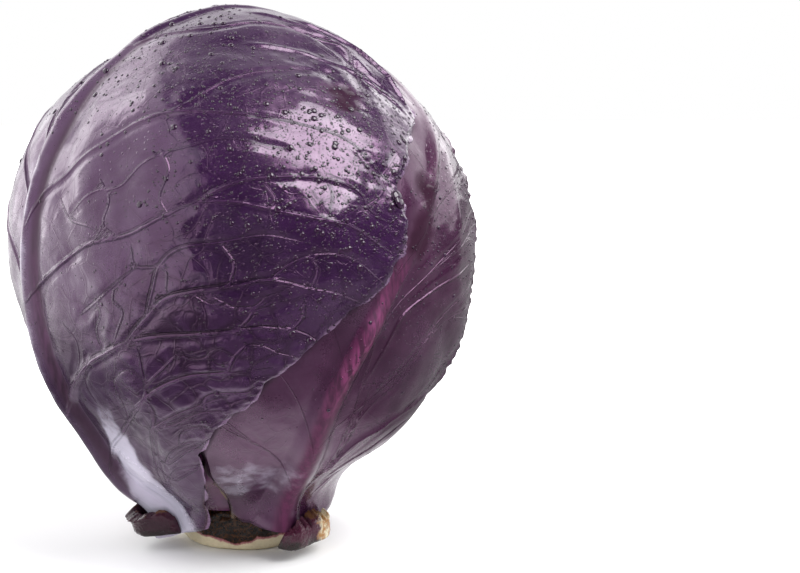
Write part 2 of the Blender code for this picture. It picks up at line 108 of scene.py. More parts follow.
class Value:
    """A value in a node tree, whose sums and products are written as plain arithmetic."""

    def __init__(self, tree, socket):
        self.tree, self.socket = tree, socket

    def join(self, operation, *others):
        return node(self.tree, "Math", dict(enumerate((self, *others))), operation=operation)

    def __add__(self, other):
        return self.join("ADD", other)

    def __sub__(self, other):
        return self.join("SUBTRACT", other)

    def __mul__(self, other):
        return self.join("MULTIPLY", other)

    def __truediv__(self, other):
        return self.join("DIVIDE", other)

    def __lt__(self, other):
        return self.join("LESS_THAN", other)

    def __gt__(self, other):
        return self.join("GREATER_THAN", other)

    def __abs__(self):
        return self.join("ABSOLUTE")

    def root(self):
        return self.join("SQRT")

    def or_more(self, other):
        return self.join("MAXIMUM", other)

    def left(self):
        """What it leaves of 1."""
        return node(self.tree, "Math", {0: 1.0, 1: self}, operation="SUBTRACT")


def node(tree, kind, inputs=None, output=0, **settings):
    """One node, its inputs set or linked, and the output that is asked for, or all of them by name.
    A shader node goes by the end of its type's name."""
    made = tree.nodes.new(kind if "Node" in kind else "ShaderNode" + kind)
    for name, value in settings.items():
        setattr(made, name, value)
    for key, value in (inputs or {}).items():
        set_input(made.inputs[key], value)
    if output is None:
        return {socket.name: Value(tree, socket) for socket in made.outputs}
    return Value(tree, made.outputs[output])


def set_input(socket, value):
    """Links a value to an input, or sets the input to a plain number or colour."""
    if isinstance(value, Value):
        value.tree.links.new(value.socket, socket)
    elif socket.type == "RGBA" and len(value) == 3:
        socket.default_value = (*value, 1.0)
    else:
        socket.default_value = value


def between(value, low, high, start=0.0, end=1.0):
    """An easy curve from start to end as the value goes from low to high."""
    return node(value.tree, "MapRange", {"Value": value, "From Min": low, "From Max": high, "To Min": start,
                                         "To Max": end}, interpolation_type="SMOOTHSTEP")


def blend(share, first, second):
    """Two colours mixed by a share."""
    return node(share.tree, "Mix", {0: share, 6: first, 7: second}, output=2, data_type="RGBA")


def grain(where, scale, detail=2.0, roughness=0.5, distortion=0.0):
    return node(where.tree, "TexNoise", {"Vector": where, "Scale": scale, "Detail": detail,
                                         "Roughness": roughness, "Distortion": distortion})


def parts_of(where):
    """The X, Y and Z of a place."""
    return node(where.tree, "SeparateXYZ", {0: where}, output=None).values()


def new_material(name):
    """A material with an empty tree but for its Principled shader, and its Object coordinates."""
    material = bpy.data.materials.new(name)
    material.use_nodes = True
    tree = material.node_tree
    return material, tree.nodes["Principled BSDF"], node(tree, "TexCoord", output=3)


def finish_with(shader, colour, roughness, height=None, **others):
    """Gives a shader its finish: height is in millimetres, and plain values stay unlinked."""
    if height is not None:
        others["Normal"] = node(colour.tree, "Bump", {"Strength": 1.0, "Distance": MM, "Height": height})
    others.update(Base_Color=colour, Roughness=roughness)
    for name, value in others.items():
        set_input(shader.inputs[name.replace("_", " ")], value)


def stump_mesh():
    radius_height = []
    for (r0, z0), (r1, z1) in zip(STUMP_OUTLINE, STUMP_OUTLINE[1:]):
        parts = max(1, round(math.hypot(r1 - r0, z1 - z0) / STUMP_STEP))
        radius_height += [(r0 + (r1 - r0) * part / parts, z0 + (z1 - z0) * part / parts)
                          for part in range(parts)]
    radius_height.append(STUMP_OUTLINE[-1])
    turns = np.radians(np.arange(STUMP_SIDES) * 360 / STUMP_SIDES)
    uneven = 1 + sum(swing * np.sin(lobes * turns + turned) for lobes, swing, turned in STUMP_LOBES)
    places = []
    for r, z in radius_height:
        scars = 0.55 * np.sin(13 * turns + 4 * np.sin(z)) * smooth(4, 7, z) * smooth(15, 20, r)
        lip = 0.25 * np.sin(17 * turns + 1.3) * smooth(17, 19, r) * smooth(0.1, 1.5, z)
        around = (r * uneven + scars + lip * (z < 6)) * MM if r > 0 else np.zeros(STUMP_SIDES)
        places += [(a * math.sin(t), -a * math.cos(t), z * MM) for a, t in zip(around, turns)]
    return shaded_mesh("stump_fine", places, tube_faces(len(radius_height), STUMP_SIDES))


def stump_finish():
    material, shader, where = new_material("cut_stalk")
    x, y, z = parts_of(where)
    wander = grain(where, 110.0, 4.0, 0.6)
    fibre = grain(where, 900.0, 3.0, 0.7)
    scar = between(abs(x + SCAR_LEFT), SCAR_HALF_WIDTH, 0.0) * between(y, 0.0, -10 * MM)
    height = z + (wander - 0.5) * (6 * MM) + scar * SCAR_DEPTH
    ring = between(abs((x * x + y * y).root() - RING_RADIUS), 0.3 * MM, 1.2 * MM)
    pith = blend(fibre, (0.56, 0.47, 0.30), (0.78, 0.70, 0.50))
    pith = blend(ring, (0.60, 0.52, 0.29), pith)
    colour = blend(between(height, SKIN_FROM, SKIN_WHOLE), pith, (0.34, 0.12, 0.13))
    burnt = between(height, SKIN_WHOLE, SKIN_BURNT)
    crust = blend(between(fibre, 0.45, 0.62), (0.010, 0.005, 0.004), (0.060, 0.024, 0.010))
    colour = blend(burnt, colour, crust)
    finish_with(shader, colour, between(burnt, 0.0, 1.0, 0.5, 0.22), fibre * 0.15 + wander * 1.6,
                Coat_Weight=0.0, Specular_IOR_Level=0.25)
    return material


place_piece("stump_fine", stump_mesh(), stump_finish(), "stump")

# The inner head: the young leaves of the heart, folded hard over each other into one firm ball.
# It grows from the top of the stalk, and shows only in the gaps between the wrapper leaves' feet.
# The whole head's outline, as radii and heights in millimetres from the crown to the foot. A polar
# angle is the share of the way along it, 0 at the crown and FOOT_POLAR at the foot.
OUTLINE = ((0, 169), (33, 159.5), (57.5, 142.5), (71, 121), (75.3, 97), (72.5, 71), (64.2, 52), (48.3, 33),
           (30.0, 18), (24.6, 3))
OUTLINE_STEPS = 40
FOOT_POLAR = 165.0
# How far the crown and the neck lean left, the polar angle where each does most, and its spread.
CROWN_LEAN = (1.5 * MM, 45, 26)
NECK_LEAN = (4.2 * MM, 147, 10)
BROAD_FLATS, SMALL_FLATS = 0.8 * MM, 0.5 * MM
CREASE_DEPTH, CREASE_AZIMUTH, CREASE_HALF_WIDTH = 1.9 * MM, 38, 9
HEAD_FOLDS, HEAD_SINK = 0.35 * MM, 0.3 * MM
WRAPPER_DEPTH = 6.3 * MM
NECK_DEPTH = 3.0 * MM
HEAD_GAP = 0.9 * MM
HEAD_FLOOR = 14.0 * MM
HEAD_RINGS = 90
HEAD_SEGMENTS = 120


def smooth_line(points, parts_between):
    """A smooth curve through all points but the first and the last, which only steer its ends."""
    curve = []
    for before, start, end, after in zip(points, points[1:], points[2:], points[3:]):
        parts = parts_between(start, end)
        for s in np.arange(parts) / parts:
            curve.append(0.5 * (2 * start + (end - before) * s
                                + (2 * before - 5 * start + 4 * end - after) * s ** 2
                                + (3 * start - before - 3 * end + after) * s ** 3))
    return np.array(curve + [points[-2]])


def head_form():
    """The head's outline as a fine curve: polar angle, radius, height and outward direction, and how
    long a degree is on it."""
    points = np.array(OUTLINE, float) * MM
    curve = smooth_line(np.vstack([points[1] * (-1, 1), points, 2 * points[-1] - points[-2]]),
                        lambda start, end: OUTLINE_STEPS)
    run = np.concatenate([[0.0], np.cumsum(np.hypot(*np.diff(curve, axis=0).T))])
    along = np.gradient(curve, run, axis=0)
    along /= np.linalg.norm(along, axis=1)[:, None]
    polar, per_degree = run / run[-1] * FOOT_POLAR, run[-1] / FOOT_POLAR
    return polar, curve[:, 0], curve[:, 1], -along[:, 1], along[:, 0], per_degree


FORM_POLAR, FORM_RADIUS, FORM_HEIGHT, FORM_OUT, FORM_UP, PER_DEGREE = head_form()


def on_form(polar, azimuth, lift):
    """Places over the outline surface, lifted along its normal. Azimuth 0 is the front, 90 the right."""
    radius = np.interp(polar, FORM_POLAR, FORM_RADIUS) + lift * np.interp(polar, FORM_POLAR, FORM_OUT)
    height = np.interp(polar, FORM_POLAR, FORM_HEIGHT) + lift * np.interp(polar, FORM_POLAR, FORM_UP)
    turn = np.radians(azimuth)
    return np.stack([radius * np.sin(turn), -radius * np.cos(turn), height], axis=-1)


def swell(polar, azimuth):
    """The head's own unevenness: it leans left, has broad flats, and a crease down its front right."""
    turn, tilt = np.radians(azimuth), np.radians(polar)
    lean = sum(height * np.exp(-((polar - middle) / spread) ** 2) for height, middle, spread in
               (CROWN_LEAN, NECK_LEAN))
    flats = BROAD_FLATS * np.sin(3 * turn + 1.1) + SMALL_FLATS * np.sin(5 * turn - 2 * tilt)
    flats = flats * np.sin(tilt) ** 2 * (1 - smooth(125, 150, polar))
    across = ((azimuth - CREASE_AZIMUTH - 0.10 * (polar - 80) + 180) % 360 - 180) / CREASE_HALF_WIDTH
    crease = CREASE_DEPTH * np.exp(-across ** 2) * smooth(52, 66, polar) * (1 - smooth(88, 108, polar))
    return flats - lean * np.sin(turn) - crease


def wrapper_depth(polar):
    """Depth of the innermost wrapper leaf inside the outline, less at the neck."""
    return WRAPPER_DEPTH + (NECK_DEPTH - WRAPPER_DEPTH) * smooth(105, 150, polar)


def inner_head_mesh():
    heights = on_form(FORM_POLAR, np.zeros_like(FORM_POLAR), -wrapper_depth(FORM_POLAR) - HEAD_GAP)[:, 2]
    floor_polar = np.interp(-HEAD_FLOOR, -heights, FORM_POLAR)
    azimuth, polar = np.meshgrid(np.arange(HEAD_SEGMENTS) * 360 / HEAD_SEGMENTS,
                                 np.linspace(0, floor_polar, HEAD_RINGS))
    folds = HEAD_FOLDS * np.sin(np.radians(7 * azimuth + 60 * np.sin(np.radians(2 * polar))))
    lift = swell(polar, azimuth) - wrapper_depth(polar) - HEAD_GAP
    lift = lift + folds * smooth(10, 40, polar) - HEAD_SINK
    places = on_form(polar, azimuth, lift)
    places[0] = places[0].mean(axis=0)
    places[-1, :, 2] = HEAD_FLOOR
    places = np.vstack([places.reshape(-1, 3), (0, 0, HEAD_FLOOR)])
    faces = tube_faces(HEAD_RINGS, HEAD_SEGMENTS)
    last = (HEAD_RINGS - 1) * HEAD_SEGMENTS
    for side in range(HEAD_SEGMENTS):
        faces.append((last + side, last + (side + 1) % HEAD_SEGMENTS, len(places) - 1))
    return shaded_mesh("inner_head_fine", places, faces)


def new_group(name, kind, inputs, outputs):
    """A node group, with its sockets' names given for each kind, and the values that come into it."""
    tree = bpy.data.node_groups.new(name, kind)
    for way, sockets in (("INPUT", inputs), ("OUTPUT", outputs)):
        for socket_kind, names in sockets.items():
            for socket in names:
                tree.interface.new_socket(name=socket, in_out=way, socket_type="NodeSocket" + socket_kind)
    return tree, {socket.name: Value(tree, socket) for socket in tree.nodes.new("NodeGroupInput").outputs}


def fill_group(tree, values):
    """Links what a group puts out."""
    output = tree.nodes.new("NodeGroupOutput")
    for name, value in values.items():
        set_input(output.inputs[name], value)


# The sizes of the vein net's fields and of the smallest beads, as scales of their patterns.
NET_SCALES = (105.0, 250.0)
BEAD_SCALE = 900.0


def waxy_skin():
    """The skin that all the leaves share: purple flesh, finest veins with painted shade in their creases,
    grey wax bloom and water beads.
    """
    tree, given = new_group("waxy_skin", "ShaderNodeTree", {
        "Vector": ("Place",), "Color": ("Deep", "Bright", "Vein colour", "Bloom colour"),
        "Float": ("Bloom", "Vein", "Groove", "Quilt", "Wet", "Foot", "Tone"),
    }, {"Color": ("Color",), "Float": ("Roughness", "Coat", "Height")})
    where, quilt, wet = given["Place"], given["Quilt"], given["Wet"]
    patches = between(grain(where, 22.0, 3.0, 0.5, 0.4), 0.36, 0.66)
    mottle = grain(where, 120.0, 2.0, 0.5)
    fine = grain(where, 1300.0, 2.0, 0.5)
    share = between(mottle * 0.8 + patches * 0.35 + given["Tone"], 0.35, 1.25)
    colour = blend(share, given["Deep"], given["Bright"])

    # The net of small veins: fine lines, with the skin swelling like cushions between them.
    jitter = node(tree, "TexNoise", {"Vector": where, "Scale": 75.0, "Detail": 1.0}, output=1)
    warped = node(tree, "VectorMath", {0: jitter, 1: (0.011, 0.011, 0.011), 2: where},
                  operation="MULTIPLY_ADD")
    wide, small = [node(tree, "TexVoronoi", {"Vector": warped, "Scale": scale}, feature="DISTANCE_TO_EDGE")
                   for scale in NET_SCALES]
    lines = between(wide, 0.0, 0.035, 1.0, 0.0).or_more(between(small, 0.0, 0.045, 1.0, 0.0) * 0.35)
    lines = lines * (quilt * 0.65 + 0.06)
    colour = blend((given["Vein"] * 0.38).or_more(lines * 0.25), colour, given["Vein colour"])
    # Painted shade: the creases between the net's fields and the grooves beside the veins are darkened
    # towards black.
    valley = between(wide, 0.02, 0.12, 1.0, 0.0) * quilt * 0.45
    valley = valley.or_more(given["Groove"] * 0.95)
    colour = blend(valley, colour, (0.0, 0.0, 0.0))
    cushions = between(wide, 0.0, 0.45, 1.0, 0.0).left() * 0.35
    cushions = cushions + between(small, 0.0, 0.45, 1.0, 0.0).left() * 0.12

    # Wax lies as a grey bloom, thin and rubbed off in places, with fine pale dots.
    bloom = between(grain(where, 30.0, 3.0, 0.55, 0.5), 0.36, 0.64) * given["Bloom"]
    bloom = bloom * between(fine, 0.35, 0.62, 0.45, 1.0)
    colour = blend(bloom, colour, given["Bloom colour"])
    colour = blend(given["Foot"], colour, (0.022, 0.009, 0.008))

    # Beads of water too small to model stand on the wet parts.
    cells = node(tree, "TexVoronoi", {"Vector": where, "Scale": BEAD_SCALE}, output=None)
    away = cells["Distance"]
    dome = ((away * away) * -1.0 + 0.09).or_more(0.0).root()
    beads = dome * (node(tree, "SeparateColor", {0: cells["Color"]}) < wet * 0.8)
    height = cushions * quilt + lines * 0.12 + given["Vein"] * 0.50 + given["Groove"] * -0.45 + beads * 0.9
    fill_group(tree, {
        "Color": colour,
        "Roughness": bloom * 0.8 + patches * 0.08 + 0.17 - (beads > 0.01) * 0.2,
        "Coat": (wet * 0.6 + between(mottle, 0.30, 0.68, 0.06, 0.42)) * valley.left(),
        "Height": height + fine * 0.012 + mottle * 0.20,
    })
    return tree


WAXY_SKIN = waxy_skin()


def skin_of(tree, values):
    """The shared skin, placed in a material with that material's own values."""
    skin = tree.nodes.new("ShaderNodeGroup")
    skin.node_tree = WAXY_SKIN
    for key, value in values.items():
        set_input(skin.inputs[key], value)
    return {socket.name: Value(tree, socket) for socket in skin.outputs}


def leaf_finish(name, deep, bright, vein, bloom_colour, bloom, rib_colour, rim_colour_and_highlight, dull_rib=0.6):
    """A wrapper leaf's finish, which reads the masks and the distances from veins on its mesh."""
    material, shader, where = new_material(name)
    size, side, apart, quilt, waxed, wet, foot, tone, rib, pale, rim, hollow, shade = [
        node(where.tree, "Attribute", output=2, attribute_name=mask) for mask in (
            "vein_size", "vein_side", "vein_apart", "quilt", "waxed", "wet", "foot", "tone", "rib", "pale",
            "rim", "hollow", "shade")]
    apart = abs(side).or_more(apart - 0.8) / (size * 0.75 + 0.30)
    strength = size * 0.55 + 0.45
    # A groove along one side of each vein, which is sunk and carries painted shade.
    groove = between(abs(apart - 1.15), 0.1, 0.55, 1.0, 0.0) * between(side, -0.4, 0.4)
    skin = skin_of(where.tree, {
        "Place": where, "Deep": deep, "Bright": bright, "Vein colour": vein, "Bloom colour": bloom_colour,
        "Bloom": waxed * bloom, "Vein": between(apart, 0.0, 1.0, 1.0, 0.0) * strength,
        "Groove": groove * strength * between(quilt, 0.25, 0.95), "Quilt": quilt, "Wet": wet, "Foot": foot,
        "Tone": tone})

    # The midrib's skin is striped along it, and a painted highlight lightens it where its upper half comes
    # out of the foot.
    along = node(where.tree, "VectorMath", {0: where, 1: (1.0, 1.0, 0.12)}, operation="MULTIPLY")
    stripes = between(grain(along, 700.0, 3.0, 0.6), 0.35, 0.65)
    _, _, z = parts_of(where)
    upper = between(z, 45 * MM, 75 * MM) * between(z, 88 * MM, 104 * MM, 1.0, 0.0)
    lit = blend(upper, rib_colour, tuple(min(1.0, 2.8 * share) for share in rib_colour))
    colour = blend(rib, skin["Color"], blend(stripes, lit, tuple(0.55 * share for share in rib_colour)))
    # Painted highlight: the pale mask lightens the skin in broken patches towards near white.
    broken = between(grain(where, 190.0, 4.0, 0.6) * 1.1 + pale, 0.75, 1.35)
    colour = blend(broken * pale * 0.9, colour, (0.50, 0.48, 0.58))
    # The rim takes its own tint; on the front left leaf the tint is a pale lavender painted highlight along
    # the thin edge.
    colour = blend(rim * 0.8, colour, rim_colour_and_highlight)
    # Painted shade: the hollows are darkened almost to black, and a painted shadow lies along the edges of
    # leaves that lie over this one.
    colour = blend(hollow * 0.95, colour, (0.016, 0.001, 0.008))
    colour = blend(shade * 0.85, colour, (0.002, 0.001, 0.002))
    dulled = (rib * dull_rib).or_more(shade.or_more(hollow * 0.8))
    finish_with(shader, colour, skin["Roughness"] + dulled * 0.4 + hollow * 0.5, skin["Height"],
                Coat_Weight=skin["Coat"] * dulled.left(), Coat_Roughness=0.09, Specular_IOR_Level=0.70,
                Specular_Tint=(1.0, 0.58, 0.94))
    return material


def inner_leaf_finish():
    material, shader, where = new_material("inner_leaf_skin")
    skin = skin_of(where.tree, {
        "Place": where, "Deep": (0.075, 0.018, 0.060), "Bright": (0.15, 0.035, 0.12),
        "Vein colour": (0.40, 0.20, 0.36), "Bloom colour": (0.30, 0.24, 0.31), "Bloom": 0.2, "Vein": 0.0,
        "Quilt": 0.3, "Wet": 0.0, "Foot": 0.0, "Tone": 0.3})
    finish_with(shader, skin["Color"], skin["Roughness"], skin["Height"], Coat_Roughness=0.1,
                Coat_Weight=0.4)
    return material


place_piece("inner_head_fine", inner_head_mesh(), inner_leaf_finish(), "inner_head")

# The wrapper leaves: four big outer leaves that close over the heart and over each other. Each is a
# thin waxy blade on a thick midrib, whose side veins fork out to a wavy edge and carry a net of
# smaller veins. They grow from the stalk at their feet, which are cut or torn below and gone dark.
BLADE, FOOT_BLADE = 1.1 * MM, 2.2 * MM
LEAF_GAP, FOOT_GAP = 0.6 * MM, 1.6 * MM
FACET_DIP = 0.5 * MM
# A leaf is lifted over the one beneath it in full up to 7 mm past that leaf's edge, and less up to 24 mm.
COVER_FULL, COVER_ENDS = 7 * MM, 24 * MM
EDGE_STEPS = 144
# Waves round the edge, their share of the reach, and their turn.
EDGE_WAVES = ((9, 0.010), (23, 0.006))
RAGGED_WAVES = ((37, 0.0060, 0.4), (61, 0.0035, 1.9), (97, 0.0018, 0.7))
# Heights of the rim's wave, of its ripples and of its even curl, and the curl's width, in millimetres.
RIM_WAVE, RIM_RIPPLE, RIM_CURL, CURL_WIDTH = 0.9, 1.3, 0.55, 6.5
RIM_THINNED = 0.42
# A leaf has no relief of its own up to 3 mm past the edge of a leaf that lies over it, and all of it from
# 17 mm on.
RELIEF_FROM, RELIEF_WHOLE = 3 * MM, 17 * MM
RIB_HALF_WIDTH = (12.5 * MM, 3 * MM)
RIB_TIP_HEIGHT = 0.6 * MM
EDGE_SPREAD = 0.6
ROW_SPREAD = 1.45
VEIN_STEEPER, VEIN_BEND = 25, 0.67
LEAF_MIDDLE = 80
# The inner face has one row or column for so many of the outer face's.
INNER_EVERY = 4
# Places of a leaf that are closer than this are made one.
LEAF_MERGE = 0.004 * MM
FIELD_SIZE = 9.0
# The leaves from the outermost in. A leaf's azimuth is where its middle lies, and its outline is angles
# and reaches round that middle, in degrees, with the tip at one of these angles. The midrib runs through
# places up and across. The line is the coloured stripe on it: its shift and half width in degrees, and
# the shares of the midrib between which it fades out. Side veins leave the midrib at the veins' shares.
LEAVES = (
    {"name": "leaf_front_left", "azimuth": -67, "tip": 90, "rib": 6.0 * MM, "rows": 312, "columns": 120,
     "outline": ((-78, 85), (-70, 80), (-57, 74), (-44, 69.5), (-25, 74), (-5, 89), (10, 103), (30, 105),
                 (55, 112), (90, 99), (125, 100), (150, 92), (175, 84), (205, 72), (232, 70), (247, 78),
                 (257, 85.5)),
     "midrib": ((-84, 0), (98, 0)), "line": (4.2, 2.2, 0.5, 1.0),
     "veins": (0.10, 0.22, 0.375, 0.49, 0.60, 0.69, 0.775, 0.85), "seed": 11},
    {"name": "leaf_front_right", "azimuth": 38, "tip": 70, "rib": 4.2 * MM, "rows": 240, "columns": 80,
     "outline": ((-76, 81.5), (-66, 74), (-50, 61), (-28, 48.5), (0, 50), (25, 58), (45, 68), (70, 86),
                 (95, 86), (120, 80), (150, 72), (180, 65), (208, 66), (230, 72), (245, 79), (254, 83.5)),
     "midrib": ((-79.5, -9), (-28, -13), (0, 6), (30, 29), (82, 29)), "line": (0.0, 3.8, 0.1, 0.8),
     "veins": (0.09, 0.20, 0.33, 0.46, 0.58, 0.70, 0.82), "seed": 12},
    {"name": "leaf_back", "azimuth": 168, "tip": 95, "rib": 5.2 * MM, "rows": 240, "columns": 92,
     "outline": ((-76, 86.5), (-64, 77), (-48, 70), (-25, 80), (0, 95), (30, 98), (60, 95), (95, 88),
                 (120, 78), (150, 84), (178, 97), (205, 82), (230, 71), (245, 78), (256, 86.5)),
     "midrib": ((-84, 0), (0, 3), (88, -7)), "line": (0.0, 5.0, 0.0, 0.75),
     "veins": (0.10, 0.22, 0.36, 0.49, 0.61, 0.73, 0.83), "seed": 13},
    {"name": "leaf_back_right", "azimuth": 90, "tip": 88, "rib": 2.6 * MM, "rows": 144, "columns": 60,
     "outline": ((-76, 86), (-64, 77), (-45, 70), (-20, 84), (10, 98), (45, 98), (88, 92), (130, 95),
                 (170, 96), (200, 84), (230, 71), (245, 78), (256, 86)),
     "midrib": ((-84, 0), (92, 3)), "line": (0.0, 5.0, 0.0, 0.75), "veins": (0.14, 0.33, 0.55, 0.76),
     "seed": 14},
)


def through(knots, value):
    """A smooth curve through (place, height) knots, read at the given places."""
    places, heights = np.array(knots, float).T
    slopes = np.gradient(heights, places)
    value = np.clip(value, places[0], places[-1])
    left = np.clip(np.searchsorted(places, value, side="right") - 1, 0, len(places) - 2)
    width = places[left + 1] - places[left]
    s = (value - places[left]) / width
    return ((1 + 2 * s) * (1 - s) ** 2 * heights[left] + s * (1 - s) ** 2 * width * slopes[left]
            + s * s * (3 - 2 * s) * heights[left + 1] + s * s * (s - 1) * width * slopes[left + 1])


def leaf_axes(leaf):
    """Directions from the leaf's middle: outwards, to its right and up to the crown."""
    turn, tilt = math.radians(leaf["azimuth"]), math.radians(LEAF_MIDDLE)
    outwards = np.array([math.sin(tilt) * math.sin(turn), -math.sin(tilt) * math.cos(turn), math.cos(tilt)])
    right = np.array([math.cos(turn), math.sin(turn), 0.0])
    return outwards, right, np.cross(outwards, right)


def leaf_to_form(leaf, x, y):
    """Polar angle and azimuth of a place given in degrees across and up the flattened leaf."""
    outwards, right, up = leaf_axes(leaf)
    reach = np.radians(np.hypot(x, y))[..., None]
    turn = np.arctan2(y, x)[..., None]
    way = np.cos(reach) * outwards + np.sin(reach) * (np.cos(turn) * right + np.sin(turn) * up)
    polar = np.degrees(np.arccos(np.clip(way[..., 2], -1, 1)))
    return polar, np.degrees(np.arctan2(way[..., 0], -way[..., 1]))


def form_to_leaf(leaf, polar, azimuth):
    """Degrees across and up the flattened leaf for a polar angle and azimuth."""
    outwards, right, up = leaf_axes(leaf)
    tilt, turn = np.radians(polar), np.radians(azimuth)
    way = np.stack([np.sin(tilt) * np.sin(turn), -np.sin(tilt) * np.cos(turn), np.cos(tilt)], axis=-1)
    reach = np.degrees(np.arccos(np.clip(way @ outwards, -1, 1)))
    angle = np.arctan2(way @ up, way @ right)
    return reach * np.cos(angle), reach * np.sin(angle)


def leaf_reach(leaf, angle, ragged=0.0):
    """How far the leaf reaches from its middle at an angle, in degrees, with its wavy edge."""
    knots = leaf["outline"]
    ring = knots + ((knots[0][0] + 360, knots[0][1]),)
    angle = (angle - knots[0][0]) % 360 + knots[0][0]
    wavy = 1 + sum(swing * np.sin(np.radians(waves * angle)) for waves, swing in EDGE_WAVES)
    torn = sum(swing * np.sin(np.radians(waves * angle) + turned + leaf["seed"]) for waves, swing, turned in
               RAGGED_WAVES)
    return through(ring, angle) * (wavy + ragged * torn)


def past_edge(leaf, polar, azimuth):
    """How far places lie past the leaf's edge in metres, less than 0 inside it."""
    x, y = form_to_leaf(leaf, polar, azimuth)
    angles = np.linspace(-180, 180, EDGE_STEPS + 1)
    turns = np.radians(angles)
    ring = leaf_reach(leaf, angles)[:, None] * np.stack([np.cos(turns), np.sin(turns)], -1)
    nearest = np.full(np.shape(x), 1e9)
    for (x0, y0), (x1, y1) in zip(ring, ring[1:]):
        run_x, run_y = x1 - x0, y1 - y0
        share = np.clip(((x - x0) * run_x + (y - y0) * run_y) / (run_x ** 2 + run_y ** 2), 0, 1)
        nearest = np.minimum(nearest, (x - x0 - share * run_x) ** 2 + (y - y0 - share * run_y) ** 2)
    inside = np.hypot(x, y) < leaf_reach(leaf, np.degrees(np.arctan2(y, x)))
    return np.where(inside, -1, 1) * np.sqrt(nearest) * PER_DEGREE


def blade_thickness(polar):
    return BLADE + (FOOT_BLADE - BLADE) * smooth(140, 162, polar)


def leaf_gap(polar):
    return LEAF_GAP + (FOOT_GAP - LEAF_GAP) * smooth(130, 150, polar)


def leaf_bed(order, polar, azimuth):
    """Height of a leaf's inner face over the outline surface, on top of the leaves beneath it."""
    bed = FACET_DIP - wrapper_depth(polar) + swell(polar, azimuth)
    for beneath in LEAVES[order + 1:]:
        covered = 1 - smooth(COVER_FULL, COVER_ENDS, past_edge(beneath, polar, azimuth))
        bed = bed + (blade_thickness(polar) + leaf_gap(polar) + FACET_DIP) * covered
    return bed


def left_bare(order, polar, azimuth, inside, ends):
    """1 where no leaf lies over this one, 0 where one does."""
    bare = np.ones_like(polar)
    for above in LEAVES[:order]:
        bare = bare * smooth(inside, ends, past_edge(above, polar, azimuth))
    return bare


def midrib_relief(leaf, x, y):
    """Height of the midrib over the blade, and its share of the way across it."""
    foot, tip = leaf["midrib"][0][0], leaf["midrib"][-1][0]
    share = np.clip((y - foot) / (tip - foot), 0, 1)
    half_width = RIB_HALF_WIDTH[0] + (RIB_HALF_WIDTH[1] - RIB_HALF_WIDTH[0]) * share ** 0.6
    height = leaf["rib"] + (RIB_TIP_HEIGHT - leaf["rib"]) * share ** 0.7
    across = np.abs(x - through(leaf["midrib"], y)) * PER_DEGREE / half_width
    return height * (1 - smooth(0.12, 1.0, across)) * (1 - smooth(0.9, 1.0, share)), across


def leaf_plan(leaf, t, b, ragged=0.0):
    """Flat place of the point a share t up the midrib and b out along the side vein there, left below 0."""
    side = np.where(b < 0, -1.0, 1.0)
    foot, tip = leaf["midrib"][0][0], leaf["midrib"][-1][0]
    foot_angle = np.where(b < 0, leaf["outline"][-1][0], leaf["outline"][0][0])
    edge_angle = foot_angle + (leaf["tip"] - foot_angle) * t ** EDGE_SPREAD
    reach = leaf_reach(leaf, edge_angle, ragged)
    edge_x = reach * np.cos(np.radians(edge_angle)) * side
    edge_y = reach * np.sin(np.radians(edge_angle))
    rib_y = foot + (tip - foot) * t
    rib_x = through(leaf["midrib"], rib_y) * side
    closing = smooth(0.93, 1.0, t)
    rib_x, rib_y = rib_x + (edge_x - rib_x) * closing, rib_y + (edge_y - rib_y) * closing
    bend = VEIN_BEND * np.hypot(edge_x - rib_x, edge_y - rib_y)
    heading = np.arctan2(edge_y - rib_y, edge_x - rib_x)
    heading = heading + math.radians(VEIN_STEEPER) * np.sqrt(np.abs(np.sin(math.pi * t)))
    bend_x, bend_y = rib_x + bend * np.cos(heading), rib_y + bend * np.sin(heading)
    out = np.abs(b)
    x = (1 - out) ** 2 * rib_x + 2 * out * (1 - out) * bend_x + out ** 2 * edge_x
    y = (1 - out) ** 2 * rib_y + 2 * out * (1 - out) * bend_y + out ** 2 * edge_y
    return x * side, y


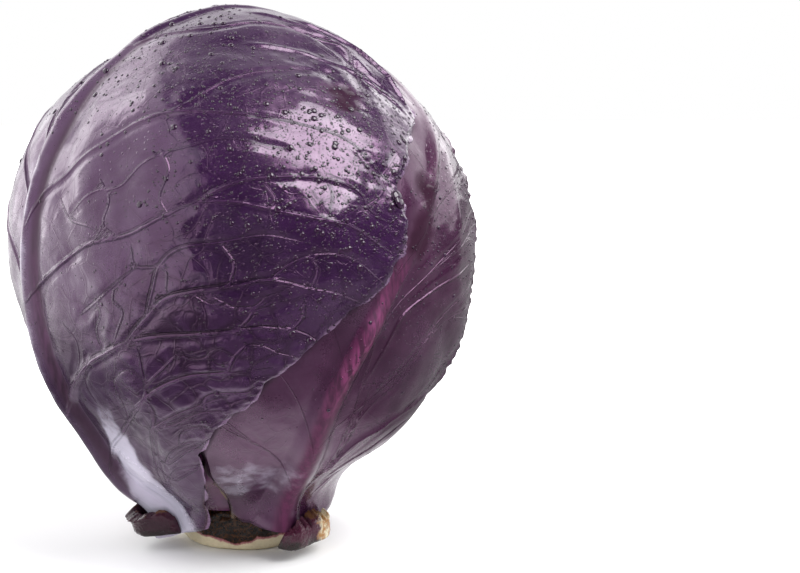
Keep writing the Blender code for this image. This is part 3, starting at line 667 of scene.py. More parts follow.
# Side veins of the front left leaf's right half, each with its half width at its foot and its tip, its
# height at both, in millimetres, and its places in degrees on the flattened leaf.
FRONT_VEINS = (
    (2.2, 0.8, 1.1, 0.5, ((2, -60), (9.3, -53.7), (21.2, -47.6), (33.5, -38.5), (40, -32.7), (49.7, -26.7),
                          (59.5, -23.7), (73, -21))),
    (2.8, 1.7, 1.6, 1.2, ((1, -43), (8, -36.5), (15, -31.7), (22, -26.8), (31, -22), (38.5, -17.8))),
    (1.7, 0.8, 1.2, 0.5, ((38.5, -17.8), (44.5, -11), (49.6, -5), (57, -1.4), (65, 1.5), (72, 4.5),
                          (81.6, 3.8), (87.5, 3.5), (95, 1))),
    (1.0, 0.6, 0.6, 0.3, ((72, 4.5), (77, 11.7), (84, 15.6), (91, 15), (100, 9))),
    (1.6, 0.9, 1.1, 0.5, ((38.5, -17.8), (46, -15.5), (54, -13.6), (68, -10), (73, -9), (80.6, -10),
                          (86, -13.8))),
    (1.7, 1.1, 1.0, 0.8, ((1, -14), (4.5, -10.1), (12, -5.6), (25.7, 2.9), (38, 8), (45, 13.4), (52, 20))),
    (1.5, 0.9, 1.1, 0.6, ((52, 20), (55, 24), (60, 29.4), (71, 36), (78, 38.4), (84, 38), (88, 34),
                          (95, 32.5))),
    (1.4, 1.0, 1.2, 0.8, ((52, 20), (60, 22.6), (69.5, 23.6), (78.7, 25), (86, 26), (95.6, 23),
                          (100.5, 21))),
    (1.1, 0.7, 0.7, 0.4, ((44.5, -11), (46.5, -3), (47.7, 2.6), (51.6, 8), (60, 11.8), (68, 16), (76, 17))),
    (1.8, 0.9, 0.9, 0.5, ((1, 4), (4.7, 12), (14, 19), (26, 31), (35, 40.7), (38, 53.7), (41.7, 63),
                          (47, 72))),
    (1.4, 0.9, 0.9, 0.7, ((26, 31), (28.7, 34), (35.8, 39.8), (46, 44.4), (59.5, 50), (72, 53), (84, 49.4),
                          (91, 45.4))),
    (1.2, 0.7, 0.6, 0.4, ((20, 10), (26, 16), (32.7, 18.8), (37, 26), (44.4, 32.4), (50.8, 37.8),
                          (62, 41))),
    (1.7, 1.0, 0.9, 0.6, ((0, 20), (-5.5, 29), (-5.7, 43), (4.7, 56), (16, 67), (19.5, 76.6), (28, 88),
                          (36, 92), (47.5, 86), (64.6, 74))),
    (0.9, 0.6, 0.6, 0.4, ((33.5, -30), (40, -36.4), (33.3, -47), (22.8, -61.3), (19.5, -70.2))),
    (0.8, 0.5, 0.5, 0.3, ((36.5, -43.3), (49.9, -36.1), (61.4, -31.2))),
    (0.8, 0.5, 0.5, 0.3, ((29, -53), (32, -56), (42.9, -50.7), (51.7, -46.2))),
    (0.8, 0.5, 0.5, 0.3, ((25, -58), (29.3, -61.3), (38.8, -58.4), (46.9, -55.1))),
)
# Small veins that join them, all of one size, each as its places alone.
LINK_SIZE = (0.8, 0.5, 0.40, 0.28)
FRONT_LINKS = (
    ((38.9, -19.1), (41.4, -19.8), (41.2, -26.8), (40.8, -30.2), (38.4, -33.6), (34, -37.1), (29.8, -41.7)),
    ((51.6, -19.2), (47.6, -23.2), (43.1, -27.2), (40.2, -30.2)),
    ((56.4, -2.6), (59.3, -4.2), (63.9, -4.4), (69.6, -3.4), (72, -0.3), (75, 1.8)),
    ((69.6, -3.4), (68.6, -6.7), (65.8, -10.7)),
    ((80.5, -0.8), (80.5, -5.4), (77.7, -10.1)),
    ((51.6, -19.2), (56, -20), (59, -18.8), (59.8, -17.2), (62.5, -15.5)),
    ((68.1, -14.3), (65.2, -17.9), (63, -22.8), (61.7, -24.8)),
    ((68.1, -14.3), (71.9, -14.6), (75.2, -16.5), (78.6, -17.2)),
    ((54.4, -35), (55.8, -32), (59.2, -30.2), (66.3, -28.9), (70.1, -26.1)),
    ((37.7, -43.3), (44.6, -41.1), (52.4, -37.2), (58.9, -35.7)),
    ((40.2, -32.7), (37.6, -41.2), (33.6, -48.7), (28.3, -56.6), (24.6, -62.9), (21.3, -69.4)),
    ((42.2, -48), (45.1, -43.9), (49.4, -41.8), (53.1, -41.3)),
    ((31.3, -56), (38.2, -50.7), (45.5, -47.3), (49.4, -46.5)),
    ((28, -61.4), (34.2, -57.6), (39.9, -56.4), (43.4, -56.4)),
    ((23.1, -25.8), (17.7, -31.1), (16.4, -35.7), (17.3, -39.1)),
    ((29.7, -34.2), (30.2, -30.9), (33.8, -27.5), (37.5, -25.4)),
    ((23.2, -14), (31.2, -8.6), (35.6, -4.7), (41.3, 0.7)),
    ((36.2, -4.7), (35.7, -7.9), (38.3, -10.2), (37.1, -13.7), (34.6, -18.3)),
    ((39.9, 5.5), (41.8, 1.3), (49, 2.4), (49.9, -2.5)),
    ((60.9, -2.5), (66.7, -5), (71.9, -3.6), (75.4, -1)),
    ((29.7, -34.2), (28.9, -38.8), (26.8, -43.9)),
    ((59, -18.8), (60.9, -20.8), (64, -20.5)),
    ((13.2, 12.2), (19.5, 8.2), (28, 7.8), (34, 5.7)),
    ((26.7, 19), (31.1, 15.1), (31.2, 9.3), (35.5, 7.4)),
    ((38.9, 29.4), (43, 25.2), (43.8, 18.6), (47.2, 15.1)),
    ((15.1, -17.8), (18.9, -21), (18.2, -26), (13, -32.9)),
    ((29.3, -21.7), (28.3, -17.1), (31.1, -12.5), (30, -9.1)),
    ((63.7, 29.3), (67, 26.5), (67.5, 22.7)),
    ((75, 37.3), (78.1, 33.1), (79.8, 25.1)),
    ((60.1, 11.1), (63.7, 6.9), (63.6, 1.8)),
    ((79.4, 13.3), (81.9, 9.8), (81.6, 3.8)),
)
# Folds of its crown, where the leaf's end is drawn together, and the valleys beside them, whose height
# is below 0, drawn the same way.
CROWN_FOLDS = (
    (1.7, 1.2, 0.6, 0.4, ((28, 68), (36.9, 77), (42.8, 80.2), (47.6, 84.5), (52, 84), (64, 80))),
    (2.0, 1.5, 1.1, 0.6, ((14, 88), (24, 95), (31.7, 97.5), (46.4, 97.2), (58, 93.7), (66, 90))),
    (2.0, 1.3, 0.8, 0.4, ((44, 84), (52.7, 86), (62.4, 87), (72, 84))),
    (2.0, 1.4, 0.7, 0.5, ((10, 78), (17, 84), (24, 89), (36, 92), (48, 91.5))),
    (3.0, 2.6, -0.9, -0.5, ((20, 82), (29, 87.5), (36, 88.5), (46, 89), (60, 88))),
    (5.0, 3.8, -0.8, -0.5, ((46, 76), (55.9, 72), (61.5, 69.6), (70, 68))),
)
# Long ridges beside the front right leaf's midrib, drawn the same way.
FOOT_RIDGES = (
    (1.3, 0.8, 0.9, 0.5, ((-4, -68), (-5.2, -57.5), (-6, -47.9), (-6.4, -37.5), (-6.6, -29), (-4, -16))),
    (1.2, 0.7, 0.7, 0.4, ((-4.4, -56), (-4.2, -47.6), (-3.6, -39), (-2.4, -29.5))),
    (1.2, 0.7, 0.7, 0.4, ((-3.6, -50), (-3, -43.1), (-0.5, -37.5), (4.8, -33))),
    (2.4, 1.6, 1.5, 0.8, ((-4.5, -62), (-2.9, -53.5), (0.6, -48.9), (9.3, -45.7), (14.2, -43.5),
                          (22.1, -42.1), (34, -39))),
    (1.6, 0.9, 0.9, 0.5, ((1.4, -66), (3.3, -58.4), (11.5, -54.2), (19.2, -50.1), (30, -47))),
    (1.4, 0.8, 0.7, 0.4, ((1.7, -71), (7.3, -64.1), (12.6, -59.3), (22, -57))),
    (1.3, 0.8, 0.7, 0.4, ((-6.6, -32), (-1, -22), (5.3, -14.5), (18.7, -9.2), (34, -6))),
)
# Small hollows, each with its place and its size in degrees; the finish darkens them with painted shade.
HOLLOWS = {
    "leaf_front_left": ((58, 71, 4.6), (63, 66, 3.6)),
    "leaf_front_right": ((14.5, 14.5, 3.6), (15.5, 10.5, 3.2), (11.5, 4.5, 5.0), (8.5, 0, 3.6)),
}
LINE_STEP = 0.5
# Half widths and heights in millimetres, at the foot and at the tip, of side veins that come from a
# rule and of their forks, and where the forks leave them and how far they spread.
TRUNK_SIZE, FORK_SIZE = (1.8, 0.7, 1.3, 0.40), (1.2, 0.5, 0.75, 0.3)
FORKS = ((0.34, 0.040), (0.55, -0.032), (0.74, 0.026))


def drawn_line(places):
    """A smooth line through flat places, with a point about every half degree."""
    points = np.array(places, float)
    points = np.vstack([2 * points[0] - points[1], points, 2 * points[-1] - points[-2]])
    return smooth_line(points, lambda start, end: max(2, int(np.hypot(*(end - start)) / LINE_STEP)))


def drawn_lines(drawn):
    """The lines of veins or folds that are given with their widths, heights and places."""
    return [(*line[:4], drawn_line(line[4])) for line in drawn]


def sized(size, strength, line):
    """A line with its half widths, its heights times a strength, and its places."""
    return (*size[:2], size[2] * strength, size[3] * strength, line)


def grown_veins(leaf, sides=(-1.0, 1.0), strength=1.0):
    """Side veins that fork out from the midrib to the edge, as rows of widths, heights and places."""
    chance = np.random.default_rng(leaf["seed"])
    veins = []
    for side in sides:
        for t in leaf["veins"]:
            wander = chance.uniform(-0.012, 0.012)
            phase = chance.uniform(0, 6.28)
            out = np.linspace(0.01, 0.975, 60)
            sway = wander * out + 0.006 * np.sin(9 * out + phase)
            trunk = np.stack(leaf_plan(leaf, np.clip(t + sway, 0.004, 0.99), out * side), -1)
            veins.append(sized(TRUNK_SIZE, strength, trunk))
            for start, spread in FORKS:
                start += chance.uniform(-0.06, 0.06)
                apart = spread * smooth(start, 1.05, out) * chance.uniform(0.8, 1.3)
                fork = np.stack(leaf_plan(leaf, np.clip(t + sway + apart, 0.004, 0.99), out * side), -1)
                veins.append(sized(FORK_SIZE, strength, fork[out > start]))
    return veins


# Flat maps of a leaf's veins, from -MAP_HALF to MAP_HALF degrees each way. Past VEIN_FAR millimetres no
# distance from a vein is kept.
MAP_HALF = 118.0
MAP_STEP = 0.16
MAP_SIZE = int(2 * MAP_HALF / MAP_STEP)
VEIN_FAR = 4.0


def vein_maps(lines):
    """Maps of the flattened leaf from its lines: relief in mm, then the distance from the nearest vein
    in mm, with a sign for its side and without one, and that vein's size. A line below 0 is a valley."""
    relief = np.zeros((MAP_SIZE, MAP_SIZE), np.float32)
    valleys = np.zeros_like(relief)
    side = np.full_like(relief, VEIN_FAR)
    apart = np.full_like(relief, VEIN_FAR)
    size = np.zeros_like(relief)
    per_degree = PER_DEGREE / MM
    for width_start, width_end, height_start, height_end, line in lines:
        count = len(line) - 1
        for part in range(count):
            (x0, y0), (x1, y1) = line[part], line[part + 1]
            along = part / count
            fade = min(1.0, along * 8 + 0.25) * min(1.0, (1 - along) * 6)
            width = width_start + (width_end - width_start) * along
            height = (height_start + (height_end - height_start) * along) * fade
            reach = max(2.2 * width, VEIN_FAR) / per_degree
            i0, i1, j0, j1 = [int(np.clip((v + MAP_HALF) / MAP_STEP, 0, MAP_SIZE)) for v in (
                min(x0, x1) - reach, max(x0, x1) + reach, min(y0, y1) - reach, max(y0, y1) + reach)]
            if i1 <= i0 or j1 <= j0:
                continue
            gx = (np.arange(i0, i1) + 0.5) * MAP_STEP - MAP_HALF
            gy = ((np.arange(j0, j1) + 0.5) * MAP_STEP - MAP_HALF)[:, None]
            run_x, run_y = x1 - x0, y1 - y0
            share = ((gx - x0) * run_x + (gy - y0) * run_y) / (run_x ** 2 + run_y ** 2 + 1e-9)
            share = np.clip(share, 0, 1)
            away_x, away_y = gx - x0 - share * run_x, gy - y0 - share * run_y
            away = np.hypot(away_x, away_y) * per_degree
            shape = height * (1 - smooth(0.0, 1.1, away / width))
            window = (slice(j0, j1), slice(i0, i1))
            if height < 0:
                valleys[window] = np.minimum(valleys[window], shape)
                continue
            relief[window] = np.maximum(relief[window], shape)
            nearer = away < apart[window]
            turned = np.where(run_x * away_y - run_y * away_x < 0, -1.0, 1.0)
            side[window] = np.where(nearer, away * turned, side[window])
            size[window] = np.where(nearer, min(1.0, height), size[window])
            apart[window] = np.where(nearer, away, apart[window])
    return relief + valleys, side, apart, size


def read_map(drawn, x, y):
    """A flat map's value at each place, with straight steps between its cells."""
    u = np.clip((x + MAP_HALF) / MAP_STEP - 0.5, 0, MAP_SIZE - 1.001)
    v = np.clip((y + MAP_HALF) / MAP_STEP - 0.5, 0, MAP_SIZE - 1.001)
    i, j = u.astype(int), v.astype(int)
    u, v = u - i, v - j
    low = drawn[j, i] * (1 - u) + drawn[j, i + 1] * u
    high = drawn[j + 1, i] * (1 - u) + drawn[j + 1, i + 1] * u
    return low * (1 - v) + high * v


def from_border(x, y, size, seed):
    """Distance from the nearest border of an uneven net of fields, in degrees."""
    table = np.random.default_rng(seed).uniform(0.08, 0.92, (64, 64, 2))
    x = x + 0.22 * size * np.sin(y / size * 2.1 + 1.0) + 0.12 * size * np.sin(y / size * 5.3)
    y = y + 0.22 * size * np.sin(x / size * 1.9) + 0.12 * size * np.sin(x / size * 4.7 + 2.0)
    column, row = np.floor(x / size).astype(int), np.floor(y / size).astype(int)
    first, second = np.full(x.shape, 1e9), np.full(x.shape, 1e9)
    for right in (-1, 0, 1):
        for up in (-1, 0, 1):
            jitter = table[(column + right) % 64, (row + up) % 64]
            away = np.hypot((column + right + jitter[..., 0]) * size - x,
                            (row + up + jitter[..., 1]) * size - y)
            second = np.minimum(second, np.maximum(first, away))
            first = np.minimum(first, away)
    return (second - first) / 2


def waves(x, y, seed, count=10, coarse=0.04, fine=0.2):
    """A gentle random unevenness between -1 and 1, from a few crossing waves."""
    chance = np.random.default_rng(seed)
    total = np.zeros_like(x)
    for _ in range(count):
        turn, rate, phase = chance.uniform(0, 6.28), chance.uniform(coarse, fine), chance.uniform(0, 6.28)
        total += np.sin((x * math.cos(turn) + y * math.sin(turn)) * rate * 6.28 + phase)
    return total / count


def pillows(x, y, seed, quilted, side, apart):
    """How the skin swells between the veins, in millimetres, and more steeply on their upper side."""
    fields = quilted * 0.25 * (smooth(0.0, 3.2, from_border(x, y, FIELD_SIZE, seed)) - 0.5)
    low_side, high_side = smooth(0.5, 4.0, apart), smooth(0.4, 2.2, apart)
    swollen = low_side + (high_side - low_side) * smooth(-0.3, 0.3, side)
    return fields + (0.40 + 0.55 * quilted) * (swollen - 0.6)


def rim_lift(order, x, y, t, b, inside):
    """How far the rim waves and curls outwards, in millimetres: less where it lies close on the crown's
    right."""
    wave = 0.5 + 0.5 * np.sin(37 * t + 2.6 * np.sin(11 * t + order) + 2.2 * np.sign(b) + order)
    calm = 1 - 0.75 * smooth(20, 60, y) * (b > 0)
    lift = RIM_WAVE * calm * wave * smooth(0.84, 1.0, np.abs(b)) * smooth(0.06, 0.2, t)
    ripple = waves(x * 2.2, y * 2.2, LEAVES[order]["seed"] + 3, 12, 0.05, 0.22)
    curl = calm * (RIM_RIPPLE * ripple + RIM_CURL) * (1 - smooth(0.0, CURL_WIDTH, inside))
    return lift + curl * smooth(0.03, 0.1, t)


def quads(grid):
    """The four corners of each cell in a grid of place numbers."""
    return np.stack([grid[:-1, :-1], grid[:-1, 1:], grid[1:, 1:], grid[1:, :-1]], -1).reshape(-1, 4)


def sewn_faces(rows, columns):
    """Faces of a leaf's full outer grid and of its coarser inner grid, and of the strip between them."""
    outer_count = (rows + 1) * (2 * columns + 1)
    inner_shape = (rows // INNER_EVERY + 1, 2 * columns // INNER_EVERY + 1)
    top = np.arange(outer_count).reshape(rows + 1, -1)
    low = outer_count + np.arange(math.prod(inner_shape)).reshape(inner_shape)
    faces = quads(top).tolist() + quads(low)[:, ::-1].tolist()
    for fine, coarse in ((top[0], low[0]), (top[-1], low[-1]), (top[:, 0], low[:, 0]),
                         (top[:, -1], low[:, -1])):
        for part in range(len(coarse) - 1):
            first, middle = part * INNER_EVERY, part * INNER_EVERY + INNER_EVERY // 2
            for step in range(first, first + INNER_EVERY):
                faces.append((fine[step], fine[step + 1], coarse[part if step < middle else part + 1]))
            faces.append((coarse[part], coarse[part + 1], fine[middle]))
    return faces


def leaf_mesh(order, veins, folds, quilt, pale):
    """The fine blade: its outer face in full, its inner face with fewer steps, sewn at the rim."""
    leaf = LEAVES[order]
    rows, columns, seed = leaf["rows"], leaf["columns"], leaf["seed"]
    half = 1 - (1 - np.arange(1, columns + 1) / columns) ** 1.12
    out = np.concatenate([-half[::-1], [0.0], half])
    t, b = np.meshgrid((np.arange(rows + 1) / rows) ** ROW_SPREAD, out, indexing="ij")
    x, y = leaf_plan(leaf, t, b, 1.0)
    polar, azimuth = leaf_to_form(leaf, x, y)
    bed = leaf_bed(order, polar, azimuth)
    inside = np.maximum(-past_edge(leaf, polar, azimuth), 0.0) / MM
    bare = left_bare(order, polar, azimuth, RELIEF_FROM, RELIEF_WHOLE)
    side_veins, side, apart, size = [read_map(drawn, x, y) for drawn in vein_maps(veins)]
    rib, across = midrib_relief(leaf, x, y)
    quilted = quilt(x, y)
    pillow = pillows(x, y, seed, quilted, side, apart) * smooth(0.8, 2.0, across)

    # The whole skin is uneven, the midrib's foot has fine ridges along it, and hollows sink in.
    uneven = 0.45 * waves(x, y, seed, 10, 0.02, 0.06) + 0.20 * waves(x, y, seed + 9, 14, 0.06, 0.22)
    ribbing = 0.24 * np.cos(across * 10) * (1 - smooth(0.75, 1.05, across)) * (1 - smooth(0.3, 0.7, t))
    wander = waves(x, y, seed + 21, 10, 0.1, 0.4)
    hollow = hollows(x + 1.5 * wander, y + 1.5 * wander, HOLLOWS.get(leaf["name"], ()))
    height = np.maximum(rib / MM + ribbing, side_veins + pillow) + uneven - 0.5 * hollow
    height = height + read_map(vein_maps(folds)[0], x, y)

    # The rim is lifted and thinned, and the relief ends at it.
    lift = rim_lift(order, x, y, t, b, inside) * bare * MM
    thin = RIM_THINNED + (1 - RIM_THINNED) * smooth(0.0, 2.2, inside)
    relief = height * bare * MM * smooth(0, 2.5, inside)
    outer = on_form(polar, azimuth, bed + lift + blade_thickness(polar) * thin + relief)
    inner = on_form(polar, azimuth, bed + lift)[::INNER_EVERY, ::INNER_EVERY]
    places = np.vstack([outer.reshape(-1, 3), inner.reshape(-1, 3)])

    # The masks that the finish reads. The inner face has none of them but some of its wax.
    high = outer[..., 2] / MM
    foot = (1 - smooth(0.4, 1.6, inside)) * (high < 22)
    foot = np.maximum(1 - smooth(3.5, 6.5, high - 2.0 * wander), foot) * 0.92
    from_rib = np.abs(x - through(leaf["midrib"], y) - leaf["line"][0]) / leaf["line"][1]
    masks = {
        "vein_side": side,
        "vein_apart": apart,
        "vein_size": size * (0.3 + 0.7 * bare),
        "quilt": quilted * bare * smooth(0.5, 1.6, across),
        "rib": (1 - smooth(0.3, 1.0, from_rib)) * (1 - smooth(*leaf["line"][2:], t)),
        "rim": 1 - smooth(0.0, 0.7, inside),
        "foot": foot,
        "waxed": np.ones_like(x),
        "wet": wetness(polar, azimuth) * bare,
        "pool": (1 - smooth(2.0, 9.0, inside)) * smooth(0.8, 2.0, inside) * pools(polar, azimuth),
        "pale": pale(x, y),
        "shade": shaded(order, polar, azimuth),
        "hollow": hollow,
        "tone": 0.35 + 0.45 * smooth(-30, 60, y) + 0.2 * waves(x, y, seed + 31, 8, 0.01, 0.04),
    }
    for name, values in masks.items():
        on_inner = {"waxed": 0.6, "vein_side": VEIN_FAR, "vein_apart": VEIN_FAR}.get(name, 0.0)
        masks[name] = np.append(values, np.full(inner[..., 0].size, on_inner)).astype(np.float32)
    return shaded_mesh(leaf["name"] + "_fine", places, sewn_faces(rows, columns), masks, LEAF_MERGE)


# The azimuth and polar angle of the middle of each wet place, and its spread in both.
RUN_MIDDLE, RUN_SPREAD = (32, 62), (46, 32)
POOL_MIDDLE, POOL_SPREAD = (47, 66), 9


def turned_from(azimuth, middle):
    """The turn from a middle azimuth, between -180 and 180 degrees."""
    return (azimuth - middle + 180) % 360 - 180


def wetness(polar, azimuth):
    """Share of the skin under drops: most on the upper front right, and some on the crown's left."""
    run = np.exp(-(turned_from(azimuth, RUN_MIDDLE[0]) / RUN_SPREAD[0]) ** 2)
    run = run * np.exp(-((polar - RUN_MIDDLE[1]) / RUN_SPREAD[1]) ** 2)
    left = 1 - smooth(60, 110, np.abs(turned_from(azimuth, 280)))
    crown = 0.42 * (1 - smooth(28, 58, polar)) * left
    return np.clip(0.04 + 0.95 * run + crown, 0, 1) * (1 - smooth(112, 135, polar))


def pools(polar, azimuth):
    """Where water gathers along the front left leaf's right margin."""
    return np.exp(-((azimuth - POOL_MIDDLE[0]) / POOL_SPREAD) ** 2
                  - ((polar - POOL_MIDDLE[1]) / POOL_SPREAD) ** 2)


def painted_highlight(x, y):
    """A painted highlight, near white, on the front left leaf: at its foot, and left of its midrib."""
    share = np.clip((-y - 34) / 44, 0, 1)
    away = np.abs(x - (20.5 - 13 * share) - 1.5 * waves(x, y, 77, 8, 0.05, 0.25)) / (3.4 + 7.0 * share)
    foot = (1 - smooth(0.5, 1.35, away)) * smooth(-28, -60, y) * (1 - smooth(-86, -90, y))
    left = smooth(3.5, 0.0, x) * (1 - smooth(2, 15, -x)) * smooth(-68, -25, y) * (1 - smooth(0, 55, y))
    left = left * (0.52 + 0.4 * waves(x, y, 78, 9, 0.03, 0.14))
    return np.maximum(foot, left)


def right_painted_highlight(x, y):
    """A weaker painted highlight low on the front right leaf, left of its midrib."""
    away = np.hypot((x + 26) / 15, (y + 63) / 12) + 0.45 * waves(x, y, 79, 9, 0.04, 0.16)
    return 0.5 * (1 - smooth(0.3, 1.3, away))


# No painted highlight on the back leaves.
def no_painted_highlight(x, y):
    return np.zeros_like(x)


def shaded(order, polar, azimuth):
    """1 along the line where a leaf's edge lies over this one and keeps the light out."""
    shade = np.zeros_like(polar)
    for above in LEAVES[:order]:
        past = past_edge(above, polar, azimuth) / MM
        shade = np.maximum(shade, 1 - smooth(0.3, 2.4, past))
    return shade


def hollows(x, y, places):
    """1 in the small hollows, which the finish darkens with painted shade, and 0 a little way off them."""
    return sum((np.exp(-(((x - right) ** 2 + (y - up) ** 2) / size ** 2) ** 2)
                for right, up, size in places), start=np.zeros_like(x))


# How much the skin swells between its veins: most right of the middle on the front left leaf, evenly
# on the back leaves, and little on the front right leaf.
def quilt_front(x, y):
    return 0.35 + 0.85 * np.exp(-((x - 62) / 34) ** 2 - ((y + 22) / 30) ** 2)


def quilt_even(x, y):
    return 0.55 + 0.35 * waves(x, y, 5, 6, 0.01, 0.03)


def quilt_soft(x, y):
    return 0.22 + 0.30 * smooth(-10, -40, x)


FRONT_LINES = drawn_lines(FRONT_VEINS) + grown_veins(LEAVES[0], (-1.0,))
FRONT_LINES += drawn_lines([(*LINK_SIZE, link) for link in FRONT_LINKS])
RIGHT_LINES = drawn_lines(FOOT_RIDGES) + grown_veins(LEAVES[1], strength=0.11)

leaf_pieces = {}
for order, veins, folds, quilt, pale, finish in (
        (3, grown_veins(LEAVES[3]), [], quilt_even, no_painted_highlight,
         leaf_finish("leaf_back_right_skin", (0.022, 0.007, 0.022), (0.062, 0.018, 0.062),
                     (0.16, 0.070, 0.145), (0.17, 0.13, 0.18), 0.45, (0.10, 0.030, 0.070),
                     (0.10, 0.05, 0.06))),
        (2, grown_veins(LEAVES[2]), [], quilt_even, no_painted_highlight,
         leaf_finish("leaf_back_skin", (0.020, 0.007, 0.022), (0.060, 0.018, 0.064), (0.16, 0.070, 0.145),
                     (0.17, 0.135, 0.18), 0.5, (0.10, 0.030, 0.075), (0.09, 0.045, 0.055))),
        (1, RIGHT_LINES, [], quilt_soft, right_painted_highlight,
         leaf_finish("leaf_front_right_skin", (0.012, 0.002, 0.009), (0.036, 0.007, 0.028),
                     (0.042, 0.010, 0.033), (0.085, 0.050, 0.090), 0.16, (0.075, 0.010, 0.040),
                     (0.16, 0.11, 0.06), 1.0)),
        (0, FRONT_LINES, drawn_lines(CROWN_FOLDS), quilt_front, painted_highlight,
         leaf_finish("leaf_front_left_skin", (0.006, 0.0016, 0.009), (0.024, 0.006, 0.034),
                     (0.065, 0.026, 0.070), (0.085, 0.060, 0.095), 0.14, (0.018, 0.006, 0.016),
                     (0.16, 0.10, 0.17)))):
    name = LEAVES[order]["name"]
    mesh = leaf_mesh(order, veins, folds, quilt, pale)
    leaf_pieces[name] = place_piece(name + "_fine", mesh, finish, name)

# The cut bases: short thick feet of older leaves, cut or torn off just above the stump. Their skin is
# dark wine, their cut tops are pale and soon go brown.
CUT_BASE_GAP, CUT_BASE_THICK, CUT_BASE_SUNK = 1.6 * MM, 5.0 * MM, 0.9 * MM
# Azimuths and half widths in degrees, polar angles of the foot and the top, and how far each leans out.
CUT_BASES = (
    {"azimuth": -74, "half_width": 25, "foot": 162.6, "top": 154.5, "lean": 2.0 * MM},
    {"azimuth": 38, "half_width": 20, "foot": 162.8, "top": 155.5, "lean": 0.8 * MM},
    {"azimuth": 152, "half_width": 25, "foot": 162.4, "top": 155.0, "lean": 1.0 * MM},
    {"azimuth": -139, "half_width": 27, "foot": 162.8, "top": 156.0, "lean": 1.4 * MM},
)
CUT_COLUMNS, CUT_ROWS = 60, 26


def covered_height(polar, azimuth):
    """Height of whatever lies outermost at the leaves' feet, which the cut bases lie on."""
    height = swell(polar, azimuth) - wrapper_depth(polar)
    for order, leaf in enumerate(LEAVES):
        x, y = form_to_leaf(leaf, polar, azimuth)
        relief = midrib_relief(leaf, x, y)[0] * left_bare(order, polar, azimuth, 11 * MM, 24 * MM)
        foot_height = leaf_bed(order, polar, azimuth) + blade_thickness(polar) + relief
        here = 1 - smooth(3 * MM, 8 * MM, past_edge(leaf, polar, azimuth))
        height = np.maximum(height, height + (foot_height - height) * here)
    return height


def cut_base_mesh(name, base, seed):
    t, b = np.meshgrid(np.linspace(0, 1, CUT_ROWS), np.linspace(-1, 1, CUT_COLUMNS), indexing="ij")
    torn = 0.10 * np.sin(9 * b + base["azimuth"]) + 0.07 * np.sin(23 * b + seed) + 0.04 * np.sin(51 * b)
    rise = t * (1 - 0.35 * b ** 2 + torn)
    polar = base["foot"] + (base["top"] - base["foot"]) * rise
    azimuth = base["azimuth"] + base["half_width"] * b * (1 - 0.12 * t)
    bed = covered_height(polar, azimuth) + CUT_BASE_GAP + base["lean"] * rise ** 2
    thick = CUT_BASE_THICK * (1 - 0.70 * b ** 2) * (1 - 0.2 * t)
    rough = 0.25 * MM * waves(b * 60, t * 30, seed, 12, 0.05, 0.3)
    rounded = np.sqrt(np.clip(1 - b ** 8, 0.02, 1)) * np.sqrt(np.clip(1 - (2 * t - 1) ** 10, 0.10, 1))
    outer = on_form(polar, azimuth, bed + thick * rounded + rough)
    inner = on_form(polar, azimuth, bed - CUT_BASE_SUNK)
    count = CUT_ROWS * CUT_COLUMNS
    grid = np.arange(count).reshape(CUT_ROWS, CUT_COLUMNS)
    rim = np.concatenate([grid[0], grid[1:, -1], grid[-1, -2::-1], grid[-2:0:-1, 0]])
    faces = quads(grid).tolist() + (quads(grid)[:, ::-1] + count).tolist()
    faces += [(here, there, there + count, here + count) for here, there in zip(rim, np.roll(rim, -1))]
    mesh = shaded_mesh(name + "_fine", np.vstack([outer.reshape(-1, 3), inner.reshape(-1, 3)]), faces)
    mesh.set_sharp_from_angle(angle=math.radians(50))
    return mesh


def cut_base_finish():
    material, shader, where = new_material("leaf_foot_skin")
    skin = skin_of(where.tree, {
        "Place": where, "Deep": (0.012, 0.003, 0.008), "Bright": (0.060, 0.010, 0.026),
        "Vein colour": (0.12, 0.05, 0.08), "Bloom colour": (0.12, 0.09, 0.12), "Bloom": 0.05, "Vein": 0.0,
        "Quilt": 0.3, "Wet": 0.1, "Foot": 0.0, "Tone": 0.3})
    x, _, z = parts_of(where)
    wander = grain(where, 260.0, 4.0, 0.65)
    height, across = z + (wander - 0.5) * (9 * MM), x + (wander - 0.5) * (8 * MM)
    colour = blend(between(height, 12.0 * MM, 13.5 * MM), skin["Color"], (0.10, 0.045, 0.020))
    colour = blend(between(height, 4.0 * MM, 8.0 * MM, 1.0, 0.0), colour, (0.010, 0.005, 0.004))
    cut = blend(between(wander, 0.4, 0.62), (0.60, 0.54, 0.38), (0.30, 0.14, 0.035))
    colour = blend(between(across, 22.5 * MM, 24.0 * MM), colour, cut)
    finish_with(shader, colour, skin["Roughness"], wander * 0.9 + skin["Height"], Coat_Weight=0.1,
                Coat_Roughness=0.10, Specular_IOR_Level=0.3)
    return material


foot_skin = cut_base_finish()
for number, base in enumerate(CUT_BASES, start=1):
    name = f"cut_base_{number}"
    place_piece(name + "_fine", cut_base_mesh(name, base, number), foot_skin, name)

# The water: rinsing water that stands on the wax as beads, small ones by the thousand and a few
# hundred large ones. Each is a low dome that sits a little way into the skin.
DROP_RINGS = 5
DROP_RISE = 0.06


def water_finish():
    material, shader, where = new_material("water_on_leaf")
    patches = grain(where, 60.0, 3.0)
    colour = blend(patches, (0.012, 0.003, 0.013), (0.032, 0.009, 0.034))
    finish_with(shader, colour, between(patches, 0.0, 1.0, 0.02, 0.05), IOR=1.5, Coat_Weight=0.4,
                Coat_Roughness=0.02)
    return material


